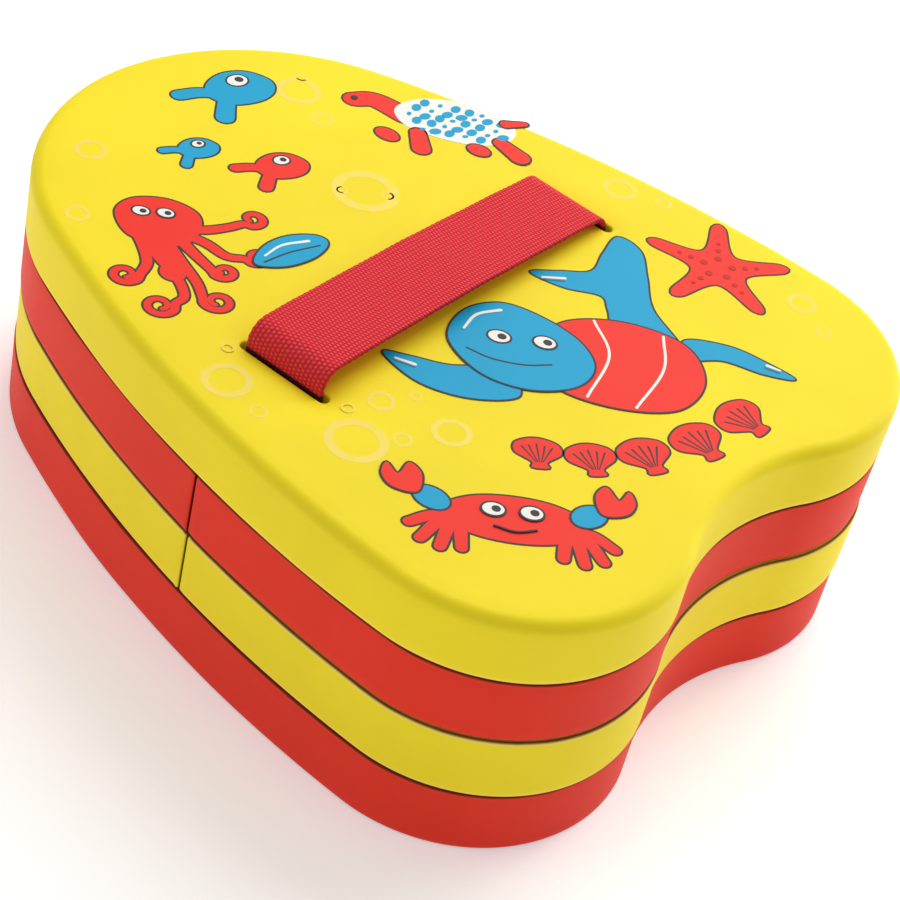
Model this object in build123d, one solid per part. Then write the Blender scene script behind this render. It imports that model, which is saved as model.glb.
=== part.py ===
from build123d import *
import math
import os

os.makedirs("parts", exist_ok=True)

# Layered back float: four closed-cell foam layers threaded on one webbing waist belt.
# Frame, in millimetres: origin under the middle of the foam outline, +Y towards the
# rounded end, -Y towards the notch between the two lobes, +Z up, foam underside at z = 0.

# ---- foam outline ----
overall_width = 220.0        # across the lobes, X
overall_length = 273.0       # rounded end to lobe ends, Y
cap_radius = 83.0            # rounded end
lobe_radius = 53.5           # each of the two lobes
notch_radius = 77.0          # shallow hollow between the lobes

# ---- foam layers ----
layer_pitch = 23.0           # one layer and the joint above it
layer_gap = 0.3              # air between two stacked layers
layer_count = 4
top_edge_radius = 4.0        # rounded upper edge of the top layer
arris_radius = 1.0           # the other long edges, just broken

# ---- belt slots, slits and the run under the foam ----
slot_spacing = 140.0         # slot to slot, X
slot_y = -6.0
slot_side_play = 1.0         # air between webbing and foam, each face
slot_end_play = 2.0          # and at each edge of the webbing
slot_lip = 0.8               # rounded mouth of a slot in the top face
slit_width = 0.8             # cut from a slot to the flank in the two middle layers
channel_side_play = 1.5
channel_play = 1.1           # above the upper of the two strands

# ---- webbing ----
belt_width = 30.0
belt_thickness = 1.6
belt_bend = 3.0              # centre-line radius where the belt turns out under the foam
span_bend = 6.0              # and where it turns across the top
span_standoff = 7.0          # centre of the span above the top face
span_crown = 0.8             # how much higher it is half way across
span_settle = 3.6            # the +X end of the span lies this much lower
strand_gap = 0.4             # between two strands lying on each other
part_gap = 0.3               # between any two separate bodies

# ---- side-release buckle for the webbing ----
buckle_offset = 29.0         # back end of the socket beyond the widest point of the foam
buckle_height = 11.6
buckle_lift = 0.4            # underside above the floor
buckle_wall = 2.0
buckle_rail = 3.2            # side rail of each webbing loop, Y
rail_play = 0.8              # beside the webbing
bar_length = 4.0             # each webbing bar, X
bar_height = 4.2
socket_loop = 8.0            # opening between socket bar and shell, X
plug_loop = 7.4
socket_length = 28.0
side_wall = 2.6
back_wall = 2.5
window_start = 6.4           # from the back of the shell
window_length = 13.4
guide_width = 4.0            # middle guide of the plug
prong_thickness = 3.0
prong_offset = 9.0           # inner face of an arm from the middle
prong_head = 10.4            # X
prong_pad_inset = 0.6        # thumb pad below the outer face of the socket
plug_block = 6.4             # solid front of the plug outside the socket

# ---- folded free end and its elastic keeper ----
fold_count = 9
fold_length = 34.0
fold_gap = 0.8               # between two folds
fold_lead = 10.0             # folds start this far before the socket
hem_length = 12.0
keeper_width = 10.0
keeper_thickness = 0.8
keeper_lead = 1.0            # middle of the keeper past the back of the socket

# ---- worked out from the above ----
half_width = overall_width / 2
cap_y = overall_length / 2 - cap_radius
lobe_y = lobe_radius - overall_length / 2
lobe_x = half_width - lobe_radius
cap_to_lobe = cap_y - lobe_y
flank_radius = (half_width**2 + cap_to_lobe**2 - cap_radius**2) / (overall_width - 2 * cap_radius)
flank_x = half_width - flank_radius
notch_y = lobe_y - math.sqrt((notch_radius + lobe_radius)**2 - lobe_x**2)
layer_height = layer_pitch - layer_gap
foam_top = layer_count * layer_pitch - layer_gap
slot_x = slot_spacing / 2
slot_width = belt_thickness + 2 * slot_side_play
slot_length = belt_width + 2 * slot_end_play
half_belt = belt_thickness / 2
under_z = part_gap + half_belt
over_z = under_z + belt_thickness + strand_gap
channel_width = belt_width + 2 * channel_side_play
channel_depth = over_z + half_belt + channel_play
buckle_x = half_width + buckle_offset
buckle_width = belt_width + 2 * (rail_play + buckle_rail)
fold_pitch = belt_thickness + fold_gap
fold_start_x = buckle_x - fold_lead
keeper_x = buckle_x + keeper_lead


def point_on(cx, cy, radius, angle):
    return (cx + radius * math.cos(angle), cy + radius * math.sin(angle))


def foam_outline():
    """Closed outline of tangent arcs: cap, flank, lobe and notch, mirrored across X = 0."""
    cap_join = math.atan2(cap_y - lobe_y, 0 - flank_x)
    notch_join = math.atan2(notch_y - lobe_y, 0 - lobe_x)
    if notch_join > 0:
        notch_join -= 2 * math.pi
    top = (0, cap_y + cap_radius)
    shoulder = point_on(0, cap_y, cap_radius, cap_join)
    widest = (half_width, lobe_y)
    hollow = point_on(lobe_x, lobe_y, lobe_radius, notch_join)
    flank_mid = point_on(flank_x, lobe_y, flank_radius, cap_join / 2)
    lobe_mid = point_on(lobe_x, lobe_y, lobe_radius, notch_join / 2)

    def mirrored(point):
        return (-point[0], point[1])

    return make_face(Wire([
        ThreePointArc(mirrored(shoulder), top, shoulder),
        ThreePointArc(shoulder, flank_mid, widest),
        ThreePointArc(widest, lobe_mid, hollow),
        ThreePointArc(hollow, (0, notch_y + notch_radius), mirrored(hollow)),
        ThreePointArc(mirrored(hollow), mirrored(lobe_mid), mirrored(widest)),
        ThreePointArc(mirrored(widest), mirrored(flank_mid), mirrored(shoulder)),
    ]))


def box(x0, x1, y0, y1, z0, z1):
    return Pos((x0 + x1) / 2, (y0 + y1) / 2, (z0 + z1) / 2) * Box(x1 - x0, y1 - y0, z1 - z0)


def foam_layer(index, upper_radius):
    """One layer with its two long edges rounded and the two belt slots cut through."""
    z0 = index * layer_pitch
    solid = Pos(0, 0, z0) * extrude(foam_outline(), layer_height)
    solid = fillet(solid.edges().group_by(Axis.Z)[-1], upper_radius)
    solid = fillet(solid.edges().group_by(Axis.Z)[0], arris_radius)
    for side in (-1, 1):
        slot = Pos(side * slot_x, slot_y, z0 + layer_height / 2) * extrude(
            SlotOverall(slot_length, slot_width, rotation=90), layer_height, both=True)
        solid -= slot
    return solid


def ribbon(points, radii, width=belt_width):
    """Webbing along a path in the XZ plane: straight runs joined by arcs of the given radii."""
    edges = []
    start = Vector(points[0][0], points[0][1])
    for i in range(1, len(points) - 1):
        corner = Vector(*points[i])
        into = (corner - Vector(*points[i - 1])).normalized()
        away = (Vector(*points[i + 1]) - corner).normalized()
        turn = math.acos(max(-1.0, min(1.0, into.dot(away))))
        reach = radii[i - 1] * math.tan(turn / 2)
        first, last = corner - into * reach, corner + away * reach
        inward = (away - into).normalized()
        middle = corner + inward * (radii[i - 1] / math.cos(turn / 2) - radii[i - 1])
        if (first - start).length > 1e-4:
            edges.append(Line(start, first))
        edges.append(ThreePointArc(first, middle, last))
        start = last
    end = Vector(*points[-1])
    if (end - start).length > 1e-4:
        edges.append(Line(start, end))
    path = Wire(edges)
    tangent = path % 0
    profile = Plane(origin=path @ 0, x_dir=(0, 0, 1), z_dir=tangent) * Rectangle(width, belt_thickness)
    flat = sweep(profile, path=path)
    # The path is drawn in the XY plane, so stand it up: its Y becomes Z.
    return Pos(0, slot_y, 0) * Rot(90, 0, 0) * flat


# ---- foam ----
bottom_layer = foam_layer(0, arris_radius)
run_start = -slot_x - slot_width / 2
bottom_layer -= box(run_start, half_width, slot_y - channel_width / 2, slot_y + channel_width / 2,
                    -1, channel_depth)
lower_middle_layer = foam_layer(1, arris_radius)
upper_middle_layer = foam_layer(2, arris_radius)
for side in (-1, 1):
    cut = box(min(side * slot_x, side * half_width), max(side * slot_x, side * half_width),
              slot_y - slit_width / 2, slot_y + slit_width / 2, 0, foam_top)
    lower_middle_layer -= cut
    upper_middle_layer -= cut
top_layer = foam_layer(3, top_edge_radius)
lips = [e for e in top_layer.edges().filter_by_position(Axis.Z, foam_top - 0.01, foam_top + 0.01)
        if abs(abs(e.center().X) - slot_x) < slot_width and abs(e.center().Y - slot_y) < slot_length]
top_layer = fillet(lips, slot_lip)

# ---- belt: span over the top and the drops through each layer ----
span_z = foam_top + span_standoff
top_drop_z = 3 * layer_pitch + part_gap / 2
belt_top_span = ribbon(
    [(-slot_x, top_drop_z), (-slot_x, span_z), (0, span_z + span_crown), (slot_x, span_z - span_settle),
     (slot_x, top_drop_z)],
    [span_bend, 20 * slot_x, span_bend])

base_left_z = under_z + belt_bend
base_right_z = over_z + belt_bend


def drop(side, z0, z1):
    return box(side * slot_x - half_belt, side * slot_x + half_belt,
               slot_y - belt_width / 2, slot_y + belt_width / 2, z0, z1)


belt_drop_left_base = drop(-1, base_left_z, layer_pitch - part_gap / 2)
belt_drop_right_base = drop(1, base_right_z, layer_pitch - part_gap / 2)
belt_drop_left_lower = drop(-1, layer_pitch + part_gap / 2, 2 * layer_pitch - part_gap / 2)
belt_drop_right_lower = drop(1, layer_pitch + part_gap / 2, 2 * layer_pitch - part_gap / 2)
belt_drop_left_upper = drop(-1, 2 * layer_pitch + part_gap / 2, 3 * layer_pitch - part_gap / 2)
belt_drop_right_upper = drop(1, 2 * layer_pitch + part_gap / 2, 3 * layer_pitch - part_gap / 2)

# ---- buckle stations along X ----
socket_bar_x = buckle_x + bar_length
shell_x = socket_bar_x + socket_loop
mouth_x = shell_x + socket_length
block_x = mouth_x + 2 * part_gap
block_end_x = block_x + plug_block
plug_bar_x = block_end_x + plug_loop
plug_end_x = plug_bar_x + bar_length
buckle_top = buckle_lift + buckle_height
half_buckle = buckle_width / 2
loop_half = belt_width / 2 + rail_play
wrap = part_gap + half_belt
socket_bar_z = under_z + half_belt + part_gap + 0.2
plug_bar_z = socket_bar_z + 1.2

# ---- belt strand sewn round the socket bar ----
sewn_x = buckle_x - 21
belt_socket_strand = ribbon(
    [(-slot_x, base_left_z), (-slot_x, under_z), (socket_bar_x + wrap, under_z),
     (socket_bar_x + wrap, socket_bar_z + bar_height + wrap),
     (buckle_x + 0.5, socket_bar_z + bar_height + wrap), (buckle_x - 9, over_z), (sewn_x, over_z)],
    [belt_bend, 1.9, 1.9, 6, 6])
belt_bar_tack = box(sewn_x + 2, sewn_x + 7, slot_y - belt_width / 2 + 2, slot_y + belt_width / 2 - 2,
                    over_z + half_belt + 0.1, over_z + half_belt + 0.6)

# ---- belt strand to the plug, round its bar, then the free end folded on top ----
carry_z = buckle_top + strand_gap + keeper_thickness + part_gap + half_belt
fold_z = carry_z + belt_thickness + 2 * strand_gap
rise_x = half_width - 1
belt_plug_strand = ribbon(
    [(slot_x, base_right_z), (slot_x, over_z), (rise_x, over_z), (rise_x + 12, carry_z),
     (plug_bar_x - wrap, carry_z), (plug_bar_x - wrap, plug_bar_z - wrap),
     (plug_end_x + wrap, plug_bar_z - wrap), (plug_end_x + wrap, fold_z), (plug_bar_x - 10, fold_z)],
    [belt_bend, 6, 6, 3, 1.9, 1.9, 3])
tail_points = [(plug_bar_x - 10, fold_z)]
for i in range(fold_count):
    turn_x = fold_start_x if i % 2 == 0 else fold_start_x + fold_length
    tail_points += [(turn_x, fold_z + i * fold_pitch), (turn_x, fold_z + (i + 1) * fold_pitch)]
tail_end_x = fold_start_x + (fold_length - 1 if fold_count % 2 else 1)
tail_points.append((tail_end_x, fold_z + fold_count * fold_pitch))
belt_free_tail = ribbon(tail_points, [fold_pitch / 2 - 0.001] * (2 * fold_count))
pack_top = fold_z + fold_count * fold_pitch + half_belt
hem_side = 1 if fold_count % 2 else -1
belt_tail_hem = box(min(tail_end_x, tail_end_x - hem_side * hem_length),
                    max(tail_end_x, tail_end_x - hem_side * hem_length),
                    slot_y - belt_width / 2, slot_y + belt_width / 2,
                    pack_top + 0.05, pack_top + 0.05 + belt_thickness)

# ---- elastic keeper round the strand and the folded end ----
keeper_in = belt_width / 2 + part_gap
keeper_low = buckle_top + strand_gap
keeper_high = pack_top + part_gap
keeper_outer = box(keeper_x - keeper_width / 2, keeper_x + keeper_width / 2,
                   slot_y - keeper_in - keeper_thickness, slot_y + keeper_in + keeper_thickness,
                   keeper_low, keeper_high + keeper_thickness)
keeper_outer = fillet(keeper_outer.edges().filter_by(Axis.X), 1.2)
belt_keeper = keeper_outer - box(keeper_x - keeper_width, keeper_x + keeper_width,
                                 slot_y - keeper_in, slot_y + keeper_in,
                                 keeper_low + keeper_thickness, keeper_high)

# ---- buckle socket ----
shell = box(shell_x, mouth_x, slot_y - half_buckle, slot_y + half_buckle, buckle_lift, buckle_top)
shell = fillet(shell.edges().filter_by(Axis.X), 3.0)
shell -= box(shell_x + back_wall, mouth_x + 1, slot_y - half_buckle + side_wall,
             slot_y + half_buckle - side_wall, buckle_lift + buckle_wall, buckle_top - buckle_wall)
window_x = shell_x + window_start
shell -= box(window_x, window_x + window_length, slot_y - half_buckle - 1, slot_y + half_buckle + 1,
             buckle_lift + buckle_wall, buckle_top - buckle_wall)
buckle_socket = shell
for side in (-1, 1):
    y0, y1 = sorted((slot_y + side * loop_half, slot_y + side * half_buckle))
    rail = box(buckle_x, shell_x + 1, y0, y1, socket_bar_z - 1.2, socket_bar_z + bar_height + 1.2)
    buckle_socket += fillet(rail.edges().filter_by(Axis.Y).group_by(Axis.X)[0], 1.6)
socket_bar = box(buckle_x, socket_bar_x, slot_y - loop_half - 1, slot_y + loop_half + 1,
                 socket_bar_z, socket_bar_z + bar_height)
buckle_socket += fillet(socket_bar.edges().filter_by(Axis.Y), 1.2)

# ---- buckle plug ----
block = box(block_x, block_end_x, slot_y - half_buckle, slot_y + half_buckle, buckle_lift, buckle_top)
buckle_plug = fillet(block.edges().filter_by(Axis.X), 3.0)
for side in (-1, 1):
    y0, y1 = sorted((slot_y + side * loop_half, slot_y + side * half_buckle))
    rail = box(block_end_x - 1, plug_end_x, y0, y1, plug_bar_z - 1.2, plug_bar_z + bar_height + 1.2)
    buckle_plug += fillet(rail.edges().filter_by(Axis.Y).group_by(Axis.X)[-1], 1.6)
plug_bar = box(plug_bar_x, plug_end_x, slot_y - loop_half - 1, slot_y + loop_half + 1,
               plug_bar_z, plug_bar_z + bar_height)
buckle_plug += fillet(plug_bar.edges().filter_by(Axis.Y), 1.2)
middle_z = buckle_lift + buckle_height / 2
buckle_plug += box(shell_x + back_wall + 2, block_x + 1, slot_y - guide_width / 2, slot_y + guide_width / 2,
                   middle_z - 2.4, middle_z + 2.4)

# ---- buckle prongs, hinged just inside the mouth ----
prong_half = buckle_height / 2 - buckle_wall - 2 * part_gap
prong_end_x = block_x - 2 * part_gap
prong_tip_x = window_x + 1.4


def prong(side):
    outer = half_buckle - prong_pad_inset
    points = [(prong_end_x, prong_offset), (prong_end_x, prong_offset + prong_thickness),
              (prong_tip_x + prong_head, prong_offset + prong_thickness + 0.6),
              (prong_tip_x + prong_head, outer - 1.2), (prong_tip_x + prong_head - 1.2, outer),
              (prong_tip_x + 4.5, outer), (prong_tip_x, outer - 3.4), (prong_tip_x, prong_offset + 1.0),
              (prong_tip_x + 1.0, prong_offset)]
    face = make_face(Polyline(*[(x, slot_y + side * y) for x, y in points], close=True))
    return Pos(0, 0, middle_z) * extrude(face, prong_half, both=True)


buckle_prong_left = prong(1)
buckle_prong_right = prong(-1)

nodes = {
    "bottom_layer": bottom_layer,
    "lower_middle_layer": lower_middle_layer,
    "upper_middle_layer": upper_middle_layer,
    "top_layer": top_layer,
    "belt_top_span": belt_top_span,
    "belt_drop_left_upper": belt_drop_left_upper,
    "belt_drop_right_upper": belt_drop_right_upper,
    "belt_drop_left_lower": belt_drop_left_lower,
    "belt_drop_right_lower": belt_drop_right_lower,
    "belt_drop_left_base": belt_drop_left_base,
    "belt_drop_right_base": belt_drop_right_base,
    "belt_socket_strand": belt_socket_strand,
    "belt_plug_strand": belt_plug_strand,
    "belt_free_tail": belt_free_tail,
    "belt_tail_hem": belt_tail_hem,
    "belt_bar_tack": belt_bar_tack,
    "belt_keeper": belt_keeper,
    "buckle_socket": buckle_socket,
    "buckle_plug": buckle_plug,
    "buckle_prong_left": buckle_prong_left,
    "buckle_prong_right": buckle_prong_right,
}
for name, shape in nodes.items():
    export_step(shape, f"parts/{name}.step")
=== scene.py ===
import math

import bmesh
import bpy
from bpy.props import FloatProperty, FloatVectorProperty, IntProperty, PointerProperty
from mathutils import Matrix, Vector, noise
from mathutils.geometry import delaunay_2d_cdt


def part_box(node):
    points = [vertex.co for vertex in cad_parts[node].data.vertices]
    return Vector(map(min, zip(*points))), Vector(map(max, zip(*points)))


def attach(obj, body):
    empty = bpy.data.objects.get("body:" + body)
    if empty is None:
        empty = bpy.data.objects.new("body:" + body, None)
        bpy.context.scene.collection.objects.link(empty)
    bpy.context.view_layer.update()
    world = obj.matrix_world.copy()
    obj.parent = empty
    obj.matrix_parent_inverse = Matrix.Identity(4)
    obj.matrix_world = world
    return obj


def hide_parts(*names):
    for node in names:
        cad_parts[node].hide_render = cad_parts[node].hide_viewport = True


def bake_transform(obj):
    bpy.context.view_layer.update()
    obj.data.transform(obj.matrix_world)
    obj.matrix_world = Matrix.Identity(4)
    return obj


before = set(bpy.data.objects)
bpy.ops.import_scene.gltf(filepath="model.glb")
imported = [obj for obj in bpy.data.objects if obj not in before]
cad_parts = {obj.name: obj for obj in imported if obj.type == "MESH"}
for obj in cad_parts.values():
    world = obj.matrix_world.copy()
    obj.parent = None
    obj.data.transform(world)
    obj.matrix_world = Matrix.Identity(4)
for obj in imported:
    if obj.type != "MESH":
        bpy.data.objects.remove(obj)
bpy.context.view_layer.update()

bl_info = {
    "name": "Layered back float",
    "version": (1, 0, 0),
    "blender": (4, 5, 0),
    "location": "View3D > Sidebar > Float",
    "description": "Builds a swim float's foam layers, printed art, webbing belt and buckle",
    "category": "Object",
}

# ---- places read from the frame, in metres ----
LAYERS = ("bottom_layer", "lower_middle_layer", "upper_middle_layer", "top_layer")
LAYER_BODY = dict(zip(LAYERS, ("base", "lower_middle", "upper_middle", "top")))
HALF_WIDTH, HALF_LENGTH, FOAM_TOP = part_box("top_layer")[1]
LAYER_GAP = 0.0003               # air between two stacked layers
DROP_LOW, DROP_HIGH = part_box("belt_drop_right_lower")
SLOT_X = (DROP_LOW.x + DROP_HIGH.x) / 2
SLOT_Y = (DROP_LOW.y + DROP_HIGH.y) / 2
BELT_WIDTH = DROP_HIGH.y - DROP_LOW.y
BELT_THICK = DROP_HIGH.x - DROP_LOW.x
BAR_BEND = 0.0019                # centre-line radius of the webbing round a buckle's bar
FOLD_LENGTH = 0.034
MM = 0.001


# ---- sizes and colours ----
def length(name, description, default):
    return FloatProperty(name=name, description=description, default=default, unit="LENGTH")


def angle(name, description, default):
    return FloatProperty(name=name, description=description, default=default, subtype="ANGLE")


def colour(name, description, default):
    return FloatVectorProperty(name=name, description=description, default=default, size=3,
                               subtype="COLOR")


class FloatFoamSettings(bpy.types.PropertyGroup):
    cap_radius: length("Rounded end", "Radius of the rounded end", 0.083)
    lobe_radius: length("Lobes", "Radius of each lobe", 0.0535)
    notch_radius: length("Notch", "Radius of the hollow between the lobes", 0.077)
    top_radius: length("Top edge", "Rounded upper edge of the top layer", 0.004)
    arris: length("Cut edges", "Radius of every other long edge", 0.0011)
    slot_play: length("Slot play", "Air on each face of the webbing in a slot", 0.001)
    slot_end_play: length("Slot end play", "Air at each edge of the webbing", 0.002)
    slit: length("Slit", "Opening of the slit at the flank", 0.0007)
    channel_depth: length("Channel depth", "Belt channel under the bottom layer", 0.005)
    yellow: colour("Yellow foam", "Colour of the yellow layers", (0.93, 0.745, 0.018))
    red: colour("Red foam", "Colour of the red layers", (0.80, 0.034, 0.014))


class FloatPrintSettings(bpy.types.PropertyGroup):
    ink: length("Ink", "Thickness of one layer of ink", 0.00005)
    outline: length("Outline", "Width of the dark outline", 0.0007)
    bubble_line: FloatProperty(name="Bubble line", default=0.36,
                               description="Width of a bubble's ring, as a share of its radius")
    blue: colour("Blue ink", "Colour of the blue ink", (0.0, 0.36, 0.62))
    red: colour("Red ink", "Colour of the red ink", (0.90, 0.026, 0.012))


class FloatBeltSettings(bpy.types.PropertyGroup):
    weave: length("Weave", "Pitch of the weave across the webbing", 0.0015)
    step: length("Step", "Spacing of the webbing's cross-sections", 0.0008)
    stitch: length("Stitch", "Length of one stitch", 0.0024)
    thread: length("Thread", "Thickness of the sewing thread", 0.00045)
    tint: colour("Webbing", "Colour of the webbing", (0.95, 0.036, 0.052))
    folds: IntProperty(name="Folds", description="Folds of the free end", default=9, min=1)


class FloatStageSettings(bpy.types.PropertyGroup):
    distance: length("Distance", "Camera to the middle of the view", 0.8431)
    azimuth: angle("Azimuth", "Camera's turn round the float", math.radians(-59.68))
    elevation: angle("Elevation", "Camera's height angle", math.radians(39.64))
    roll: angle("Roll", "Camera's tilt about its own axis", math.radians(14.23))
    lens: FloatProperty(name="Lens", description="Focal length on a 36 mm sensor, in millimetres",
                        default=98.43)


def settings(name):
    return getattr(bpy.context.scene, "float_" + name)


# ---- shader maths ----
def operator(operation, turned=False):
    """A method that adds one Math node. Turned, it puts the other value first."""

    def method(self, *others):
        values = (*others, self) if turned else (self, *others)
        return self.shader.node("ShaderNodeMath", {"operation": operation}, dict(enumerate(values)))

    return method


class Socket:
    """One output socket, so that an expression on it adds the Math nodes it needs."""

    def __init__(self, shader, socket):
        self.shader, self.socket = shader, socket

    __add__, __radd__ = operator("ADD"), operator("ADD", True)
    __sub__, __rsub__ = operator("SUBTRACT"), operator("SUBTRACT", True)
    __mul__, __rmul__ = operator("MULTIPLY"), operator("MULTIPLY", True)
    __truediv__, __rtruediv__ = operator("DIVIDE"), operator("DIVIDE", True)
    __lt__, __gt__ = operator("LESS_THAN"), operator("GREATER_THAN")
    sine, absolute, floor = operator("SINE"), operator("ABSOLUTE"), operator("FLOOR")
    fraction, modulo = operator("FRACT"), operator("FLOORED_MODULO")

    def smooth(self, low, high):
        """0 below low, 1 above high and a smooth ramp between."""
        return self.shader.node("ShaderNodeMapRange", {"interpolation_type": "SMOOTHSTEP"},
                                {"Value": self, "From Min": low, "From Max": high})


def add_node(tree, kind, options=None, values=None):
    """A node of any type: its settings first, then the values or links of its sockets."""
    made = tree.nodes.new(kind)
    for option, value in (options or {}).items():
        setattr(made, option, value)
    for socket, value in (values or {}).items():
        value = getattr(value, "socket", value)
        if isinstance(value, bpy.types.NodeSocket):
            tree.links.new(value, made.inputs[socket])
        else:
            made.inputs[socket].default_value = value
    return made


class Shader:
    """A node-based material with one Principled surface."""

    def __init__(self, name, **surface):
        self.material = bpy.data.materials.new(name)
        self.material.use_nodes = True
        self.tree = self.material.node_tree
        self.surface = self.tree.nodes["Principled BSDF"]
        for socket, value in surface.items():
            self.surface.inputs[socket.replace("_", " ")].default_value = value

    def node(self, kind, options=None, values=None, output=0):
        return Socket(self, add_node(self.tree, kind, options, values).outputs[output])

    def place(self):
        return self.node("ShaderNodeTexCoord", output="Object")

    def height(self, vector):
        return self.node("ShaderNodeSeparateXYZ", None, {0: vector}, "Z")

    def attribute(self, name):
        return self.node("ShaderNodeAttribute", {"attribute_name": name}, None, "Fac")

    def noise(self, vector, scale, detail=2.0, rough=0.5):
        values = {"Vector": vector, "Scale": scale, "Detail": detail, "Roughness": rough}
        return self.node("ShaderNodeTexNoise", None, values, "Fac")

    def cells(self, vector, scale):
        values = {"Vector": vector, "Scale": scale}
        return self.node("ShaderNodeTexVoronoi", None, values, "Distance")

    def mix(self, factor, low, high):
        values = {0: factor, 6: rgba(low), 7: rgba(high)}
        return self.node("ShaderNodeMix", {"data_type": "RGBA"}, values, 2)

    def stretch(self, vector, scale):
        return self.node("ShaderNodeMapping", None, {"Vector": vector, "Scale": scale})

    def bump(self, height, distance, strength=1.0, normal=None):
        values = {"Height": height, "Distance": distance, "Strength": strength}
        if normal is not None:
            values["Normal"] = normal
        return self.node("ShaderNodeBump", None, values)

    def feed(self, socket, value):
        self.tree.links.new(value.socket, self.surface.inputs[socket])


def rgba(tint):
    if isinstance(tint, Socket) or len(tint) == 4:
        return tint
    return (*tint, 1.0)


def scaled(tint, share):
    return tuple(min(1.0, c * share) for c in tint)


def foam_material(name, skin, lip, lip_highlight_share):
    """Closed-cell foam: a soft satin skin, a fine grain, faint clouding, a few pinholes with painted
    shade in them, a dark line of painted shade along the long edges at each seam and inside the slits,
    and a paler painted highlight on the lip beside each seam."""
    shader = Shader(name, Roughness=0.6, Specular_IOR_Level=0.14, Subsurface_Weight=0.04,
                    Subsurface_Scale=0.003)
    shader.surface.inputs["Subsurface Radius"].default_value = (1.0, 0.6, 0.2)
    place = shader.place()
    cloud = shader.noise(place, 14.0, 3.0, 0.55)
    grain = shader.noise(place, 1500.0, 3.0, 0.65)
    pebble = shader.noise(place, 330.0, 2.0, 0.5)
    pores = shader.cells(place, 620.0).smooth(0.02, 0.10)
    tone = shader.mix(cloud.smooth(0.3, 0.7), scaled(skin, 0.955), scaled(skin, 1.03))
    # Painted shade: the pinholes are drawn darker than the skin.
    tone = shader.mix((1 - pores) * 0.3, tone, scaled(skin, 0.7))
    height = shader.height(place)
    pitch = (FOAM_TOP + LAYER_GAP) / len(LAYERS)
    seam = ((height + LAYER_GAP / 2 + pitch / 2).modulo(pitch) - pitch / 2).absolute()
    rolled = 0.006                   # the top edge is rolled, not cut, so it has no seam
    beside = shader.attribute("rim") * (height < FOAM_TOP - rolled)
    drift = shader.noise(place, 90.0, 2.0) * 0.0006
    # Painted highlight: a paler lip beside each seam between the layers.
    tone = shader.mix(beside * (1 - (seam + drift).smooth(0.0011, 0.0021)) * lip_highlight_share, tone, lip)
    # Painted shade: a dark line at each seam, where the gap between the layers lies in shade.
    line = beside * (1 - (seam + drift * 0.5).smooth(0.00045, 0.0011))
    tone = shader.mix(line * 0.92, tone, (0.13, 0.016, 0.007))
    # Painted shade inside the slits, on the points marked by the cut attribute.
    tone = shader.mix(shader.attribute("cut") * 0.85, tone, scaled(skin, 0.12))
    shader.feed("Base Color", tone)
    shader.feed("Roughness", 0.47 + grain * 0.10 + cloud * 0.06 + line * 0.25)
    fine = shader.bump(grain + pebble * 0.7 - (1 - pores) * 0.5, 0.00005, 0.75)
    shader.feed("Normal", shader.bump(shader.noise(place, 55.0, 2.0), 0.0004, 0.20, fine))
    return shader.material


def ink_material(name, ink, foam=(0.93, 0.745, 0.018), wear=0.74):
    """Screen-printed ink: even, a little glossier, with the foam's grain showing through."""
    shader = Shader(name, Roughness=0.5, Specular_IOR_Level=0.18)
    place = shader.place()
    grain = shader.noise(place, 1500.0, 3.0, 0.65)
    cover = shader.noise(place, 260.0, 4.0, 0.7)
    tone = shader.mix(shader.noise(place, 35.0, 2.0), scaled(ink, 0.93), scaled(ink, 1.04))
    shader.feed("Base Color", shader.mix(cover.smooth(wear, wear + 0.16), tone, foam))
    shader.feed("Roughness", 0.44 + grain * 0.14)
    shader.feed("Normal", shader.bump(grain, 0.00005, 0.6))
    return shader.material


def webbing_material(name, yarn, pitch, slot_top=None):
    """Plain-woven webbing: warp ribs over and under the weft, with painted shade in the gaps of the
    weave, a painted highlight on its beads, and painted shade where it is down in a slot.
    """
    shader = Shader(name, Roughness=0.6, Specular_IOR_Level=0.16)
    across = shader.attribute("across") / pitch
    along = shader.attribute("run") / (pitch * 0.84)
    column = across.floor()
    shifted = along + column.modulo(2.0) * 0.5
    rib = (across.fraction() * math.pi).sine()
    crest = (shifted.fraction() * math.pi).sine()
    bead = rib * crest
    gap = bead.smooth(0.05, 0.42)
    fibre_place = shader.stretch(shader.place(), (900.0, 6000.0, 900.0))
    fibre = shader.noise(fibre_place, 1.0, 2.0, 0.6)
    worn = shader.noise(shader.place(), 60.0, 3.0, 0.6)
    # Painted shade: the gaps between the beads of the weave are darker.
    tone = shader.mix(gap, scaled(yarn, 0.5), yarn)
    # Painted highlight: a pale pink on the crest of each bead.
    tone = shader.mix(bead.smooth(0.75, 1.0) * 0.4, tone, (1.0, 0.16, 0.19))
    edge = (shader.attribute("across") / BELT_WIDTH * 2 - 1).absolute()
    tone = shader.mix(edge.smooth(0.93, 1.0) * 0.6, tone, scaled(yarn, 0.4))
    tone = shader.mix(worn.smooth(0.35, 0.75) * 0.25, tone, scaled(yarn, 0.86))
    tone = shader.mix(fibre * 0.14, tone, scaled(yarn, 0.65))
    # Painted shade where the webbing is down in a slot, below the top of the foam.
    if slot_top is not None:
        depth = slot_top - shader.height(shader.place())
        tone = shader.mix(depth.smooth(-0.0003, 0.0006) * 0.93, tone, (0.012, 0.004, 0.002))
    shader.feed("Base Color", tone)
    shader.feed("Roughness", 0.62 - bead * 0.14 + fibre * 0.08)
    shader.feed("Normal", shader.bump(bead + fibre * 0.16, 0.00042, 0.9))
    return shader.material


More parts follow.
